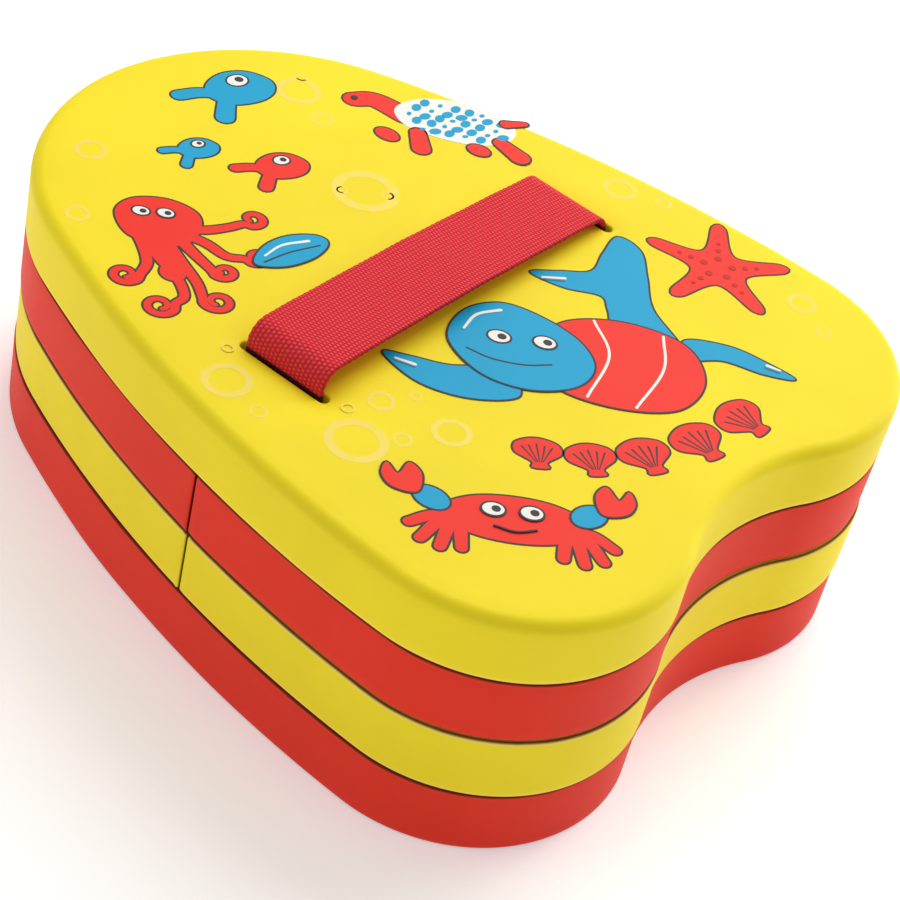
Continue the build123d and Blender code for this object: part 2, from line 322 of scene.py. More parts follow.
def elastic_material(name):
    """Black woven elastic: fine cords along the loop, ribbed across, with a painted highlight on the
    cords' crests and painted shade between them.
    """
    shader = Shader(name, Roughness=0.7, Specular_IOR_Level=0.3)
    shader.surface.inputs["Sheen Weight"].default_value = 0.2
    across = shader.attribute("across") / 0.0009
    along = shader.attribute("run") / 0.0006
    cord = (across.fraction() * math.pi).sine()
    rib = (along * math.tau).sine() * 0.5 + 0.5
    relief = cord * 0.75 + rib * 0.25
    fuzz = shader.noise(shader.place(), 2600.0, 2.0)
    # Mostly painted highlight and shade from the cords' relief, with a random fuzz tone mixed in.
    shader.feed("Base Color", shader.mix(relief * 0.75 + fuzz * 0.25, (0.006, 0.006, 0.007),
                                         (0.045, 0.045, 0.05)))
    shader.feed("Roughness", 0.62 + fuzz * 0.2)
    shader.feed("Normal", shader.bump(relief, 0.00025, 0.8))
    return shader.material


def thread_material(name, yarn):
    """Twisted sewing thread."""
    shader = Shader(name, Roughness=0.5, Specular_IOR_Level=0.5)
    twist = shader.noise(shader.stretch(shader.place(), (2500.0, 2500.0, 5200.0)), 1.0, 1.0)
    shader.feed("Base Color", shader.mix(twist, scaled(yarn, 0.55), scaled(yarn, 1.15)))
    shader.feed("Roughness", 0.42 + twist * 0.25)
    shader.feed("Normal", shader.bump(twist, 0.0001, 0.6))
    return shader.material


def moulded_material(name):
    """Satin moulded acetal with spark-eroded texture and faint handling marks."""
    shader = Shader(name, Roughness=0.4, Specular_IOR_Level=0.5)
    place = shader.place()
    spark = shader.noise(place, 2400.0, 3.0, 0.7)
    flow = shader.noise(shader.stretch(place, (60.0, 18.0, 60.0)), 1.0, 3.0, 0.6)
    rub = shader.noise(place, 140.0, 4.0, 0.7).smooth(0.55, 0.75)
    shader.feed("Base Color", shader.mix(flow, (0.012, 0.012, 0.013), (0.026, 0.026, 0.028)))
    shader.feed("Roughness", 0.34 + spark * 0.16 + rub * 0.12)
    shader.feed("Normal", shader.bump(spark, 0.00003, 0.55))
    return shader.material


# ---- mesh helpers ----
def link(name, mesh):
    piece = bpy.data.objects.new(name, mesh)
    bpy.context.scene.collection.objects.link(piece)
    return piece


def plain_mesh(piece, name):
    """The evaluated piece as a plain mesh object, with the source removed."""
    bpy.context.view_layer.update()
    graph = bpy.context.evaluated_depsgraph_get()
    mesh = bpy.data.meshes.new_from_object(piece.evaluated_get(graph), depsgraph=graph,
                                           preserve_all_data_layers=True)
    bpy.data.objects.remove(piece)
    mesh.name = name
    return link(name, mesh)


def moulded_copy(node, paint, radius=0.00035):
    """A CAD node's copy with its triangles merged into faces and its edges rounded."""
    work = bmesh.new()
    work.from_mesh(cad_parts[node].data)
    bmesh.ops.remove_doubles(work, verts=work.verts, dist=1e-6)
    bmesh.ops.dissolve_limit(work, angle_limit=math.radians(1.0), verts=work.verts,
                             edges=work.edges)
    mesh = bpy.data.meshes.new(node + "_moulded")
    work.to_mesh(mesh)
    work.free()
    mesh.materials.clear()
    mesh.materials.append(paint)
    piece = link(node + "_moulded", mesh)
    change = piece.modifiers.new("edges", "BEVEL")
    change.width, change.segments, change.limit_method = radius, 2, "ANGLE"
    change.angle_limit, change.use_clamp_overlap = math.radians(35), True
    piece = plain_mesh(piece, node + "_moulded")
    piece.data.shade_smooth()
    piece.data.set_sharp_from_angle(angle=math.radians(40))
    return piece


def settle(piece, body, slot, *nodes):
    """Puts a piece on the body it rides on and hides the CAD nodes it stands for; the finish it is
    given is not used.
    """
    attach(piece, body)
    if nodes:
        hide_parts(*nodes)
    return piece


# ---- foam layers ----
class Outline:
    """Plan outline of the foam: tangent arcs for the cap, flanks, lobes and notch."""

    def __init__(self, foam):
        self.cap, self.lobe, self.notch = foam.cap_radius, foam.lobe_radius, foam.notch_radius
        self.cap_y = HALF_LENGTH - self.cap
        self.lobe_y = self.lobe - HALF_LENGTH
        self.lobe_x = HALF_WIDTH - self.lobe
        rise = self.cap_y - self.lobe_y
        self.flank = (HALF_WIDTH**2 + rise**2 - self.cap**2) / (2 * (HALF_WIDTH - self.cap))
        self.flank_x = HALF_WIDTH - self.flank
        self.notch_y = self.lobe_y - math.sqrt((self.notch + self.lobe)**2 - self.lobe_x**2)

    def flank_at(self, y):
        return self.flank_x + math.sqrt(self.flank**2 - (y - self.lobe_y)**2)

    def half(self, spacing):
        """Points with outward normals down the +X side, from the rounded end to the notch."""
        cap_end = math.atan2(self.cap_y - self.lobe_y, -self.flank_x)
        lobe_end = math.atan2(self.notch_y - self.lobe_y, -self.lobe_x) % math.tau - math.tau
        hollow = lobe_end + math.pi
        arcs = [(0.0, self.cap_y, self.cap, math.pi / 2, cap_end, 1),
                (self.flank_x, self.lobe_y, self.flank, cap_end, 0.0, 1),
                (self.lobe_x, self.lobe_y, self.lobe, 0.0, lobe_end, 1),
                (0.0, self.notch_y, self.notch, hollow % math.tau, math.pi / 2, -1)]
        points = []
        for x, y, radius, start, end, sign in arcs:
            count = max(4, round(abs(end - start) * radius / spacing))
            for i in range(count):
                angle = start + (end - start) * i / count
                nx, ny = math.cos(angle), math.sin(angle)
                points.append((x + radius * nx, y + radius * ny, sign * nx, sign * ny))
        points.append((0.0, self.notch_y + self.notch, 0.0, -1.0))
        return points

    def loop(self, spacing=0.0016):
        """The whole outline, clockwise seen from above: down the +X side, up the -X side."""
        right = self.half(spacing)
        left = [(-x, y, -nx, ny) for x, y, nx, ny in reversed(right[1:-1])]
        return right + left


def slot_loop(side, half_w, half_l, spacing=0.0016):
    """A round-ended slot; its normals point into the opening."""
    straight = half_l - half_w
    points = []
    count = 8
    for end in (1, -1):
        for i in range(count + 1):
            angle = math.pi * i / count + (0 if end > 0 else math.pi)
            nx, ny = math.cos(angle), math.sin(angle)
            points.append((side * SLOT_X + half_w * nx, SLOT_Y + end * straight + half_w * ny,
                           -nx, -ny))
        steps = round(2 * straight / spacing)
        for i in range(1, steps):
            y = end * straight * (1 - 2 * i / steps)
            points.append((side * SLOT_X - end * half_w, SLOT_Y + y, end, 0.0))
    return points


def slit_outline(outline, foam, half_w, half_l, wander):
    """One loop along the flank, into the slit, round the slot and out again, on each side."""
    loop = outline.loop()
    arris = foam.arris
    half = foam.slit / 2
    tight = half * 0.4
    for side in (1, -1):
        mouth = outline.flank_at(SLOT_Y)
        slot_edge = SLOT_X + half_w
        near = [i for i, p in enumerate(loop)
                if p[0] * side > 0.09 and abs(p[1] - SLOT_Y) < half + arris + 0.0007]

        def lip(up):
            """The slit's lip above (up 1) or below (up -1), from the flank to the slot."""
            points = [(mouth, half + 0.0005, mouth - arris, half + arris + 0.00025),
                      (mouth - 0.00015, half + 0.00015, mouth - arris - 0.0001, half + arris + 0.0001),
                      (mouth - 0.0005, half, mouth - arris - 0.00025, half + arris)]
            run_in, run_out = mouth - 2 * arris, slot_edge + arris + 0.0004
            for i in range(21):
                share = i / 20
                x = run_in + (run_out - run_in) * share
                gap = half + (tight - half) * min(1.0, share * 1.8)
                points.append((x, gap, x, gap + arris))
            points.append((slot_edge, tight, slot_edge + arris, tight + arris))
            made = []
            for x, y, to_x, to_y in points:
                ends = min(1.0, (mouth - x) / 0.004) * min(1.0, (x - slot_edge) / 0.004)
                bend = wander * math.sin((mouth - x) * 160 + side) * ends
                # The last value marks points inside the slit, which the foam material darkens as
                # painted shade.
                made.append((side * x, SLOT_Y + up * y + bend, side * (x - to_x) / arris,
                             up * (y - to_y) / arris, float(x < mouth - 0.0003)))
            return made

        opening = tight + arris + 0.0003
        ring = [p for p in slot_loop(side, half_w, half_l)
                if side * p[0] <= slot_edge - 0.0001 or abs(p[1] - SLOT_Y) >= opening]
        ring.sort(key=lambda p: math.atan2(p[1] - SLOT_Y, side * (p[0] - side * SLOT_X)) % math.tau)
        if side > 0:
            path = lip(1) + ring + lip(-1)[::-1]
        else:
            path = lip(-1) + ring[::-1] + lip(1)[::-1]
        loop = loop[:near[0]] + path + loop[near[-1] + 1:]
    return loop


def inside_loops(x, y, loops):
    """Whether a point is inside an odd number of the loops."""
    hit = False
    for loop in loops:
        previous = loop[-1]
        for point in loop:
            if (point[1] > y) != (previous[1] > y):
                along = (previous[0] - point[0]) * (y - point[1]) / (previous[1] - point[1])
                if x < along + point[0]:
                    hit = not hit
            previous = point
    return hit


def edge_rings():
    """Stations round a wall: zone, share of the edge radius set in, share of the zone's height."""
    low = [math.pi / 2 * i / 4 for i in range(5)]
    high = [math.pi / 2 * i / 6 for i in range(7)]
    return ([("low", 1 - math.sin(a), 1 - math.cos(a)) for a in low]
            + [("wall", 0.0, i / 6) for i in range(1, 6)]
            + [("high", 1 - math.cos(a), math.sin(a)) for a in high])


def scattered(loops, pitch=0.0046, clear=0.0022):
    """Evenly spaced points inside the loops, clear of the loops' own points."""
    near = {}
    for x, y in (point for loop in loops for point in loop):
        near.setdefault((round(x / pitch), round(y / pitch)), []).append((x, y))
    points, row, y = [], 0, -HALF_LENGTH
    while y < HALF_LENGTH:
        x = -HALF_WIDTH + (pitch / 2 if row % 2 else 0)
        while x < HALF_WIDTH:
            column, line = round(x / pitch), round(y / pitch)
            close = any((px - x)**2 + (py - y)**2 < clear**2
                        for i in (-1, 0, 1) for j in (-1, 0, 1)
                        for px, py in near.get((column + i, line + j), ()))
            if not close and inside_loops(x, y, loops):
                points.append((x, y))
            x += pitch
        y += pitch * 0.866
        row += 1
    return points


def triangulated(loops, scatter):
    """Triangles between loops and scatter, by number: the loops' points, then the scatter's."""
    edges, start = [], 0
    for loop in loops:
        edges += [(start + i, start + (i + 1) % len(loop)) for i in range(len(loop))]
        start += len(loop)
    points = [Vector(p) for loop in loops for p in loop] + [Vector(p) for p in scatter]
    _, _, triangles, origin, _, _ = delaunay_2d_cdt(points, edges, [], 0, 1e-9)
    index = [source[0] if source else None for source in origin]
    kept = []
    for triangle in triangles:
        ids = [index[i] for i in triangle]
        if None in ids or len(set(ids)) < 3:
            continue
        centre = sum((points[i] for i in ids), Vector((0, 0))) / 3
        if inside_loops(centre.x, centre.y, loops):
            kept.append(ids)
    return kept


def foam_slab(name, loops, radii, low, high, relief):
    """A slab with rounded long edges from plan loops of (x, y, nx, ny), the outside loop first.
    radii gives each loop's upper radius, and relief moves a finished point."""
    flat = [p for loop in loops for p in loop]
    arris = settings("foam").arris
    upper = [radii[k] for k, loop in enumerate(loops) for _ in loop]
    rings = edge_rings()
    vertices, faces, rim_marks, slit_shade_marks = [], [], [], []
    count, outside = len(flat), len(loops[0])
    for zone, inset, share in rings:
        rim_marks += [float(i < outside and inset < 0.9) for i in range(count)]
        slit_shade_marks += [point[4] if len(point) > 4 else 0.0 for point in flat]
        for (x, y, nx, ny, *_), radius in zip(flat, upper):
            if zone == "low":
                z, set_in = low + arris * share, arris * inset
            elif zone == "wall":
                z, set_in = low + arris + (high - low - arris - radius) * share, 0.0
            else:
                z, set_in = high - radius * (1 - share), radius * inset
            vertices.append((x - nx * set_in, y - ny * set_in, z))
    top = (len(rings) - 1) * count
    rim_loops, start = [], 0
    for loop in loops:
        size = len(loop)
        for ring in range(0, top, count):
            for i in range(size):
                a, b = ring + start + i, ring + start + (i + 1) % size
                faces.append((a, b, b + count, a + count))
        rim_loops.append([vertices[top + start + i][:2] for i in range(size)])
        start += size
    # Both faces share one triangulation of the loops and an even scatter of points between them.
    scatter = scattered(rim_loops)
    over, under = len(vertices), len(vertices) + len(scatter)
    vertices += [(x, y, z) for z in (high, low) for x, y in scatter]
    for ids in triangulated(rim_loops, scatter):
        faces.append([top + i if i < count else over + i - count for i in ids])
        faces.append([i if i < count else under + i - count for i in reversed(ids)])
    mesh = bpy.data.meshes.new(name)
    mesh.from_pydata([relief(Vector(v)) for v in vertices], [], faces)
    for label, marks in (("rim", rim_marks), ("cut", slit_shade_marks)):
        layer = mesh.attributes.new(label, "FLOAT", "POINT")
        layer.data.foreach_set("value", marks + [0.0] * (len(vertices) - len(marks)))
    work = bmesh.new()
    work.from_mesh(mesh)
    bmesh.ops.recalc_face_normals(work, faces=work.faces)
    work.to_mesh(mesh)
    work.free()
    mesh.shade_smooth()
    mesh.validate()
    return link(name, mesh)


def make_layer(name, colour):
    """One foam layer: its outer shape, slots and slits, with a hand-cut unevenness of its own."""
    foam = settings("foam")
    outline = Outline(foam)
    low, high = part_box(name)
    order = LAYERS.index(name)
    half_w = BELT_THICK / 2 + foam.slot_play
    half_l = BELT_WIDTH / 2 + foam.slot_end_play
    seed = Vector((3.1 * order, 7.7, 1.3))
    rim_start, rim_width = 0.05, 0.04        # the unevenness grows over this ring of the plan
    unevenness, top_dimple, low_dimple = 0.00035, 0.0009, 0.0002
    shift = ((0.0, 0.0), (0.0002, -0.0004), (0.0005, 0.0002), (0.0, 0.0))[order]
    slot_lip = 0.0007
    if "middle" in name:
        wander = 0.0006 if name.startswith("lower") else 0.00035
        loops = [slit_outline(outline, foam, half_w, half_l, wander)]
        radii = [foam.arris]
    else:
        loops = [outline.loop()] + [slot_loop(side, half_w, half_l) for side in (1, -1)]
        radii = [foam.top_radius if name == "top_layer" else foam.arris, slot_lip, slot_lip]

    def relief(point):
        """Uneven cutting round the rim, and a dimple where the belt pulls the foam down."""
        rim = max(0.0, min(1.0, (Vector((point.x, point.y)).length - rim_start) / rim_width))
        way = Vector((point.x, point.y * 0.7, 0)).normalized()
        moved = point + way * (noise.noise(point * 22 + seed) * unevenness * rim)
        moved.x += shift[0] * rim
        moved.y += shift[1] * rim
        across = abs(abs(point.x) - SLOT_X)
        beyond = max(0.0, abs(point.y - SLOT_Y) - half_l)
        pull = math.exp(-((across / 0.006)**2 + (beyond / 0.005)**2))
        if point.z > high.z - foam.top_radius - 0.0001 and name == "top_layer":
            moved.z -= top_dimple * pull
        elif point.z > (low.z + high.z) / 2 and name == "bottom_layer":
            moved.z -= low_dimple * pull
        return moved

    piece = foam_slab(name + "_foam", loops, radii, low.z, high.z, relief)
    piece.data.materials.append(colour)
    if name == "bottom_layer":
        cut_channel(piece, foam, half_w)
    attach(piece, LAYER_BODY[name])
    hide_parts(name)
    return piece


def cut_channel(piece, foam, half_w):
    """The belt's channel along the underside, cut with rounded corners and applied."""
    radius, below, past = 0.0012, -0.004, 0.004
    half = BELT_WIDTH / 2 + 0.0015
    profile = [(half, below)]
    for side in (1, -1):
        for i in range(6):
            angle = math.pi / 2 * (i / 5 if side > 0 else 1 - i / 5)
            profile.append((side * (half - radius + radius * math.cos(angle)),
                            foam.channel_depth - radius + radius * math.sin(angle)))
    profile.append((-half, below))
    cutter = bmesh.new()
    near, far = ([cutter.verts.new((x, SLOT_Y + y, z)) for y, z in profile]
                 for x in (-SLOT_X - half_w, HALF_WIDTH + past))
    for i in range(len(profile)):
        j = (i + 1) % len(profile)
        cutter.faces.new((near[i], near[j], far[j], far[i]))
    cutter.faces.new(near[::-1])
    cutter.faces.new(far)
    bmesh.ops.recalc_face_normals(cutter, faces=cutter.faces)
    mesh = bpy.data.meshes.new("channel_cutter")
    cutter.to_mesh(mesh)
    cutter.free()
    tool = link("channel_cutter", mesh)
    cut = piece.modifiers.new("channel", "BOOLEAN")
    cut.operation, cut.object, cut.solver = "DIFFERENCE", tool, "EXACT"
    bpy.context.view_layer.update()
    graph = bpy.context.evaluated_depsgraph_get()
    carved = bpy.data.meshes.new_from_object(piece.evaluated_get(graph))
    piece.modifiers.clear()
    paint = piece.data.materials[0]
    piece.data = carved
    carved.materials.clear()
    carved.materials.append(paint)
    for polygon in carved.polygons:
        polygon.material_index = 0
    carved.shade_smooth()
    carved.set_sharp_from_angle(angle=math.radians(50))
    bpy.data.objects.remove(tool)


# ---- geometry nodes ----
class Tree:
    """A geometry tree with named inputs, ending in realized instances and a set material."""

    def __init__(self, name, **inputs):
        self.tree = bpy.data.node_groups.new(name, "GeometryNodeTree")
        face = self.tree.interface
        face.new_socket("Geometry", in_out="INPUT", socket_type="NodeSocketGeometry")
        for label, kind in {**inputs, "Material": "Material"}.items():
            face.new_socket(label, in_out="INPUT", socket_type="NodeSocket" + kind)
        face.new_socket("Geometry", in_out="OUTPUT", socket_type="NodeSocketGeometry")
        self.given = self.tree.nodes.new("NodeGroupInput").outputs

    def node(self, kind, options=None, values=None, output=0):
        return add_node(self.tree, "GeometryNode" + kind, options, values).outputs[output]

    def function(self, kind, options=None, values=None):
        return add_node(self.tree, kind, options, values).outputs[0]

    def maths(self, operation, first, second):
        return self.function("ShaderNodeMath", {"operation": operation}, {0: first, 1: second})

    def triple(self, x, y, z):
        return self.function("ShaderNodeCombineXYZ", None, {0: x, 1: y, 2: z})

    def size(self):
        return self.node("InputNamedAttribute", {"data_type": "FLOAT"}, {"Name": "size"})

    def placed(self, points, instance, scale, **more):
        """One instance on every point."""
        return self.node("InstanceOnPoints", None,
                         {"Points": points, "Instance": instance, "Scale": scale, **more})

    def store(self, geometry, name, value):
        return self.node("StoreNamedAttribute", {"data_type": "FLOAT", "domain": "POINT"},
                         {"Geometry": geometry, "Name": name, "Value": value})

    def finish(self, geometry, smooth=True):
        real = self.node("RealizeInstances", None, {0: geometry})
        real = self.node("SetShadeSmooth", None, {0: real, "Shade Smooth": smooth})
        painted = self.node("SetMaterial", None, {0: real, "Material": self.given["Material"]})
        end = self.tree.nodes.new("NodeGroupOutput")
        self.tree.links.new(painted, end.inputs[0])
        return self.tree


def shared_tree(name, make):
    return bpy.data.node_groups.get(name) or make(name)


def grown(name, source, tree, **values):
    """The mesh a tree makes from a source object, as a plain mesh object."""
    change = source.modifiers.new("tree", "NODES")
    change.node_group = tree
    keys = {item.name: item.identifier for item in tree.interface.items_tree
            if item.in_out == "INPUT"}
    for label, value in values.items():
        change[keys[label.replace("_", " ")]] = value
    return plain_mesh(source, name)


def webbing_tree(name):
    """Flat webbing along a path. Lie points across the webbing's width."""
    tree = Tree(name, Width="Float", Thickness="Float", Step="Float", Lie="Vector")
    given = tree.given
    path = tree.node("ResampleCurve", {"mode": "LENGTH"}, {"Curve": given["Geometry"],
                                                           "Length": given["Step"]})
    path = tree.node("SetCurveNormal", {"mode": "FREE"}, {"Curve": path, "Normal": given["Lie"]})
    path = tree.store(path, "run", tree.node("SplineParameter", output=1))
    sides = tree.node("CurvePrimitiveQuadrilateral", {"mode": "RECTANGLE"},
                      {"Width": given["Width"], "Height": given["Thickness"]})
    radius = tree.maths("MULTIPLY", given["Thickness"], 0.42)
    sides = tree.node("FilletCurve", {"mode": "POLY"},
                      {"Curve": sides, "Count": 3, "Radius": radius})
    sides = tree.node("SubdivideCurve", None, {"Curve": sides, "Cuts": 2})
    place = tree.function("ShaderNodeSeparateXYZ", None, {0: tree.node("InputPosition")})
    half = tree.maths("DIVIDE", given["Width"], 2.0)
    sides = tree.store(sides, "across", tree.maths("ADD", place, half))
    return tree.finish(tree.node("CurveToMesh", None, {"Curve": path, "Profile Curve": sides,
                                                       "Fill Caps": True}))


def stitch_tree(name):
    """Stitches laid end to end along lines."""
    tree = Tree(name, Pitch="Float", Length="Float", Thread="Float")
    given = tree.given
    points = add_node(tree.tree, "GeometryNodeCurveToPoints", {"mode": "LENGTH"},
                      {"Curve": given["Geometry"], "Length": given["Pitch"]})
    thread, length = (tree.maths("DIVIDE", given[k], 2.0) for k in ("Thread", "Length"))
    stitch = tree.node("MeshUVSphere", None, {"Segments": 8, "Rings": 6, "Radius": 1.0})
    size = tree.triple(thread, thread, length)
    return tree.finish(tree.placed(points.outputs["Points"], stitch, size,
                                   Rotation=points.outputs["Rotation"]))


def dot_tree(name):
    """A thin round dot of ink on each point, as wide as the point's size attribute."""
    tree = Tree(name, Thickness="Float", Flatness="Float", Sides="Int", Seed="Int")
    given = tree.given
    size = tree.size()
    scale = tree.triple(size, tree.maths("MULTIPLY", size, given["Flatness"]), given["Thickness"])
    turn = add_node(tree.tree, "FunctionNodeRandomValue", {"data_type": "FLOAT_VECTOR"},
                    {0: (0.0, 0.0, -0.5), 1: (0.0, 0.0, 0.5), "Seed": given["Seed"]}).outputs[0]
    dot = tree.node("MeshCylinder", None, {"Vertices": given["Sides"], "Radius": 1.0, "Depth": 1.0})
    return tree.finish(tree.placed(given["Geometry"], dot, scale, Rotation=turn), smooth=False)


def ring_tree(name):
    """A thin ring of ink round each point, as wide as the point's size attribute."""
    tree = Tree(name, Thickness="Float", Line="Float")
    given = tree.given
    size = tree.size()
    circle = tree.node("CurvePrimitiveCircle", None, {"Resolution": 56, "Radius": 1.0})
    circle = tree.node("SetCurveNormal", {"mode": "Z_UP"}, {"Curve": circle})
    edge = tree.node("CurvePrimitiveQuadrilateral", {"mode": "RECTANGLE"},
                     {"Width": given["Line"], "Height": 1.0})
    ring = tree.node("CurveToMesh", None, {"Curve": circle, "Profile Curve": edge})
    scale = tree.triple(size, size, given["Thickness"])
    return tree.finish(tree.placed(given["Geometry"], ring, scale), smooth=False)


def rib_tree(name):
    """Upright round-backed ribs along a line."""
    tree = Tree(name, Count="Int", Width="Float", Height="Float")
    given = tree.given
    points = tree.node("ResampleCurve", {"mode": "COUNT"},
                       {"Curve": given["Geometry"], "Count": given["Count"]})
    radius, half = (tree.maths("DIVIDE", given[k], 2.0) for k in ("Width", "Height"))
    rib = tree.node("MeshUVSphere", None, {"Segments": 10, "Rings": 8, "Radius": 1.0})
    return tree.finish(tree.placed(points, rib, tree.triple(radius, radius, half)))


def path_curve(name, lines, cyclic=False):
    """Straight-sided splines through lists of points."""
    curve = bpy.data.curves.new(name, "CURVE")
    curve.dimensions = "3D"
    for line in lines:
        spline = curve.splines.new("POLY")
        spline.points.add(len(line) - 1)
        for point, place in zip(spline.points, line):
            point.co = (*place, 1.0)
        spline.use_cyclic_u = cyclic
    return link(name, curve)


def point_mesh(name, rows):
    """Loose points from rows of x, y, z and size."""
    mesh = bpy.data.meshes.new(name)
    mesh.from_pydata([row[:3] for row in rows], [], [])
    sizes = mesh.attributes.new("size", "FLOAT", "POINT")
    for item, row in zip(sizes.data, rows):
        item.value = row[3]
    return link(name, mesh)


# ---- webbing, keeper and stitches ----
def rounded(points, radii):
    """A path with its corners turned on arcs, in two coordinates."""
    path = [Vector(points[0])]
    for i in range(1, len(points) - 1):
        corner = Vector(points[i])
        into = (corner - Vector(points[i - 1])).normalized()
        away = (Vector(points[i + 1]) - corner).normalized()
        turn = math.acos(max(-1.0, min(1.0, into.dot(away))))
        reach = radii[i - 1] * math.tan(turn / 2)
        centre = corner + (away - into).normalized() * (radii[i - 1] / math.cos(turn / 2))
        start = corner - into * reach - centre
        sign = 1 if into.x * away.y - into.y * away.x > 0 else -1
        steps = max(2, math.ceil(turn / math.radians(9)))
        for k in range(steps + 1):
            angle = sign * turn * k / steps
            path.append(centre + Vector((start.x * math.cos(angle) - start.y * math.sin(angle),
                                         start.x * math.sin(angle) + start.y * math.cos(angle))))
    path.append(Vector(points[-1]))
    return path


def run_length(path):
    return sum((b - a).length for a, b in zip(path, path[1:]))


def webbing(name, paths, body, nodes, material, step=None):
    """Webbing pieces along paths in the XZ plane, all on one body."""
    belt = settings("belt")
    tree = shared_tree("webbing along a path", webbing_tree)
    lines = [[(x, SLOT_Y, z) for x, z in path] for path in paths]
    piece = grown(name, path_curve(name, lines), tree, Width=BELT_WIDTH, Thickness=BELT_THICK,
                  Step=step or belt.step, Lie=(0.0, 1.0, 0.0), Material=material)
    soften(piece)
    if body:
        settle(piece, body, "webbing", *nodes)
    return piece


def soften(piece):
    """The slight cupping and wandering edge of real webbing."""
    normals = [v.normal.copy() for v in piece.data.vertices]
    across = piece.data.attributes["across"].data
    run = piece.data.attributes["run"].data
    for i, vertex in enumerate(piece.data.vertices):
        edge = across[i].value / BELT_WIDTH * 2 - 1
        beat = math.sin(run[i].value / 0.00125 * math.pi) * max(0.0, abs(edge) - 0.93) / 0.07
        vertex.co.y += edge * 0.00012 * beat - edge * 0.0002
        vertex.co += normals[i] * 0.00004 * math.sin(run[i].value * 260 + edge * 3)


def top_span_path():
    """Up from the -X slot, across with a slight crown, and lower into the +X slot."""
    low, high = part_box("belt_top_span")
    crown = high.z - BELT_THICK / 2 + 0.0009
    return rounded([(-SLOT_X, low.z), (-SLOT_X, crown - 0.0008), (0.0, crown),
                    (SLOT_X, crown - 0.0044), (SLOT_X, low.z)], [0.006, 1.4, 0.007])


def drop_paths(node):
    """The two runs of webbing down through one layer, a little longer than their solids."""
    paths = []
    for side in ("left", "right"):
        low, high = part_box(f"belt_drop_{side}_{node}")
        x = (low.x + high.x) / 2
        paths.append([(x, low.z), (x, (low.z + high.z) / 2), (x, high.z + 0.00025)])
    return paths


def socket_path():
    """From the -X slot under the foam, round the socket's bar and back to the bar tack."""
    low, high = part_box("belt_socket_strand")
    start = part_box("belt_drop_left_base")[0].z
    half = BELT_THICK / 2
    under, over = low.z + half, high.z - half
    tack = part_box("belt_bar_tack")[0]
    lap = tack.z - 0.0001 - half
    rise_end, rise_start = 0.1395, 0.130
    return rounded([(-SLOT_X, start), (-SLOT_X, under), (high.x - half, under),
                    (high.x - half, over), (rise_end, over), (rise_start, lap),
                    (tack.x - 0.002, lap)],
                   [0.003, BAR_BEND, BAR_BEND, 0.006, 0.006])


def plug_paths():
    """From the +X slot over the buckle and round the plug's bar, and the free end folded on it."""
    folds = settings("belt").folds
    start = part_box("belt_drop_right_base")[0].z
    plug_low, plug_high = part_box("belt_plug_strand")
    tail_low, tail_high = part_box("belt_free_tail")
    half = BELT_THICK / 2
    level = tail_low.z + half
    carry = level - BELT_THICK - 0.0008
    under = start - 0.003
    bar = under - 0.0006
    near, far = 0.1923, plug_high.x - half
    strand = [(SLOT_X, start), (SLOT_X, under), (0.109, under), (0.121, carry), (near, carry),
              (near, bar), (far, bar), (far, level), (tail_high.x, level)]
    pitch = (tail_high.z - tail_low.z - BELT_THICK) / folds
    left = tail_low.x + half
    tail = [(tail_high.x, level)]
    for i in range(folds):
        x = left + (FOLD_LENGTH if i % 2 else 0.0)
        tail += [(x, level + i * pitch), (x, level + (i + 1) * pitch)]
    tail.append((left + (FOLD_LENGTH - MM if folds % 2 else MM), level + folds * pitch))
    return (rounded(strand, [0.003, 0.006, 0.006, 0.003, BAR_BEND, BAR_BEND, 0.003]),
            rounded(tail, [pitch / 2 - 1e-6] * (2 * folds)))


def stitches(name, lines, body, nodes, material, pitch, length=None):
    belt = settings("belt")
    tree = shared_tree("stitches along a line", stitch_tree)
    piece = grown(name, path_curve(name, lines), tree, Pitch=pitch, Length=length or pitch * 0.95,
                  Thread=belt.thread, Material=material)
    return settle(piece, body, "thread", *nodes)


